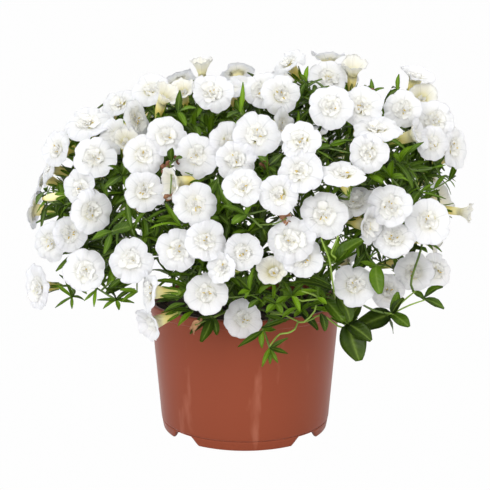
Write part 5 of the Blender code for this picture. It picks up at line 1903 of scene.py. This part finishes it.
def leaf_tone_and_painted_shade(leaf, rng):
    """Brighter where a leaf is slim, and with painted shade: brighter at the outside of the crown, darker
    within it and below the rim.
    """
    # Painted shade: the crown level, and the drop below the rim, darken the leaves where the crown shades
    # them
    level = min(1.0, crown_level(leaf.tip)) - (0.5 if leaf.tip.z < POT_HEIGHT + 6 * MM else 0)
    slim = TINT_SLIM * (SLIM_LEAF - leaf.width) / SLIM_LEAF
    return float(np.clip(TINT_LEAST + PAINTED_SHADE_RISE * level + slim + rng.normal(0, TINT_SPREAD), 0.02, 1))


def dress_stems(plant, blooms, rng):
    """One green piece for each leafy stem, in place of its solid."""
    leaves, shoots = grow_foliage(plant, blooms, rng)
    shoots += plant.loose
    low = low_stems(plant)
    materials = [leaf_material(), stalk_material(), bud_material()]
    for number, stem in enumerate(plant.stems):
        piece = Piece(GREEN_MARKS)
        twigs = [(branch, TWIG_TINT) for branch in stem.branches]
        twigs += [(branch, SHOOT_TINT) for index, branch in shoots if index == number]
        twigs += [(branch, LOW_TINT) for index, branch in low if index == number]
        for branch, tone_and_shade in twigs:
            radii = [max(radius, FINEST_TWIG) for radius in branch.radii]
            if branch.bears_bloom():
                radii[-1] = TWIG_RADIUS
            points, sizes = smooth_run(branch.points, radii, 4 * MM)
            piece.tube(points, sizes, TUBE_SIDES, STALK, [0.5, 0.5, tone_and_shade])
            if branch.bears_bloom():
                arrive = (branch.points[-1] - branch.points[-2]).normalized()
                fine_sepals(piece, branch.points[-1] - arrive * 2 * MM, arrive, rng)
        for index, leaf in leaves:
            if index == number:
                fine_leaf(piece, leaf, rng, leaf_tone_and_painted_shade(leaf, rng))
        for base, tip in stem.buds:
            fine_bud(piece, base, tip)
            away = (tip - base).normalized()
            fine_sepals(piece, base - away * 2 * MM, away, rng, 0.75)
        made = piece.build(f"fine_leafy_stem_{number:02d}", materials)
        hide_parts(f"leafy_stem_{number:02d}")


def withered_blooms(plant, rng):
    """Crumpled brown remains of a few old blooms, each on a thin twig among the leaves."""
    piece = Piece(BLOOM_MARKS)
    for across, down, set_back, size, pale in WITHERED:
        centre = seen_on_crown(across, down, set_back)
        face = looking(centre, rng.uniform(-60, 60), rng.uniform(-60, 30))
        spin = rng.uniform(0, LOBE_DEGREES)
        bloom = Bloom(centre, face, 2 * size * MM, spin, 1.0, face, SEEN_SIDEWAYS)
        frame = bloom_frame(bloom)
        for number in range(4):
            petal = (rng.uniform(0.9, 1.5), 1.1, 70, -50, 0.0, pale)
            inner_petal(piece, bloom, frame, rng, 90 * number, petal, (7, 7))
        stem, points = plant.loose_route(centre, WITHERED_BOW)
        plant.loose.append((stem, Branch(points, [LOOSE_TWIG] * 3)))
    piece.build("withered_petals", [withered_material()])


def dress_blooms(blooms, group, rng):
    """One piece for each group of blooms that touch, in place of its solid."""
    material = petal_material()
    for order, number in enumerate(sorted(set(group))):
        piece = Piece(BLOOM_MARKS)
        for bloom, member in zip(blooms, group):
            if member == number:
                fine_bloom(piece, bloom, rng, not hidden_from_the_eye(bloom.centre))
        made = piece.build(f"fine_blooms_{order:02d}", [material])
        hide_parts(f"blooms_{order:02d}")


def white_to_camera(tree, kind, other, output):
    """Shows the camera plain white, and gives all else the light of another shader."""
    white = node(tree, kind, {0: (1, 1, 1, 1), 1: BACKDROP})
    rays = node(tree, "ShaderNodeLightPath")
    inputs = {0: rays.outputs[0], 1: other.outputs[0], 2: white.outputs[0]}
    mixed = node(tree, "ShaderNodeMixShader", inputs)
    tree.links.new(mixed.outputs[0], tree.nodes[output].inputs[0])


def white_floor():
    """A wide pale floor that glows a little, so that it stays plain right up to the backdrop."""
    bpy.ops.mesh.primitive_plane_add(size=12, location=(0, 0, 0))
    floor = bpy.context.object
    floor.name = "floor"
    material, tree, shader = new_material("floor_white")
    tune(shader, {"Base Color": FLOOR_PALE, "Roughness": 1.0, "Specular IOR Level": 0.0})
    white_to_camera(tree, "ShaderNodeEmission", shader, "Material Output")
    floor.data.materials.append(material)


def backdrop():
    """White where the camera sees it, and a softer, cooler light for what stands before it."""
    world = bpy.data.worlds.new("backdrop")
    bpy.context.scene.world = world
    world.use_nodes = True
    tree = world.node_tree
    place = node(tree, "ShaderNodeTexCoord").outputs["Generated"]
    side = node(tree, "ShaderNodeSeparateXYZ", {0: place}).outputs[0]
    share = node(tree, "ShaderNodeMapRange", {0: side, 1: -0.8, 2: 0.8}).outputs[0]
    light = tree.nodes["Background"]
    tree.links.new(mix(tree, share, AMBIENT_LEFT, AMBIENT_RIGHT), light.inputs[0])
    light.inputs[1].default_value = AMBIENT_STRENGTH
    white_to_camera(tree, "ShaderNodeBackground", light, "World Output")


def area_light(name, place, size, power, colour):
    lamp = bpy.data.lights.new(name, "AREA")
    lamp.size = size
    lamp.energy = power
    lamp.color = colour
    holder = put(name, lamp)
    holder.location = place
    aim = CROWN_MIDDLE - Vector(place)
    holder.rotation_euler = aim.to_track_quat("-Z", "Y").to_euler()


def camera():
    data = bpy.data.cameras.new("camera")
    data.sensor_width = SENSOR
    data.lens = EYE_FOCAL * SENSOR / (2 * PICTURE_MIDDLE)
    holder = put("camera", data)
    holder.location = EYE
    holder.rotation_euler = (math.pi / 2 - EYE_PITCH, 0, 0)
    bpy.context.scene.camera = holder


def main():
    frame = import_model()
    bpy.context.scene.view_settings.view_transform = "Standard"
    camera()
    backdrop()
    white_floor()
    for lamp in LAMPS:
        area_light(*lamp)
    rng = random.Random(BLOOM_SEED)
    seen = seen_blooms(rng)
    blooms, group = settled(seen + fill_blooms(seen, rng))
    plant = grown_plant(blooms)
    fine = np.random.default_rng(LOOKS_SEED)
    fine_pot()
    fine_soil(fine)
    withered_blooms(plant, fine)
    dress_stems(plant, blooms, fine)
    dress_blooms(blooms, group, fine)


main()
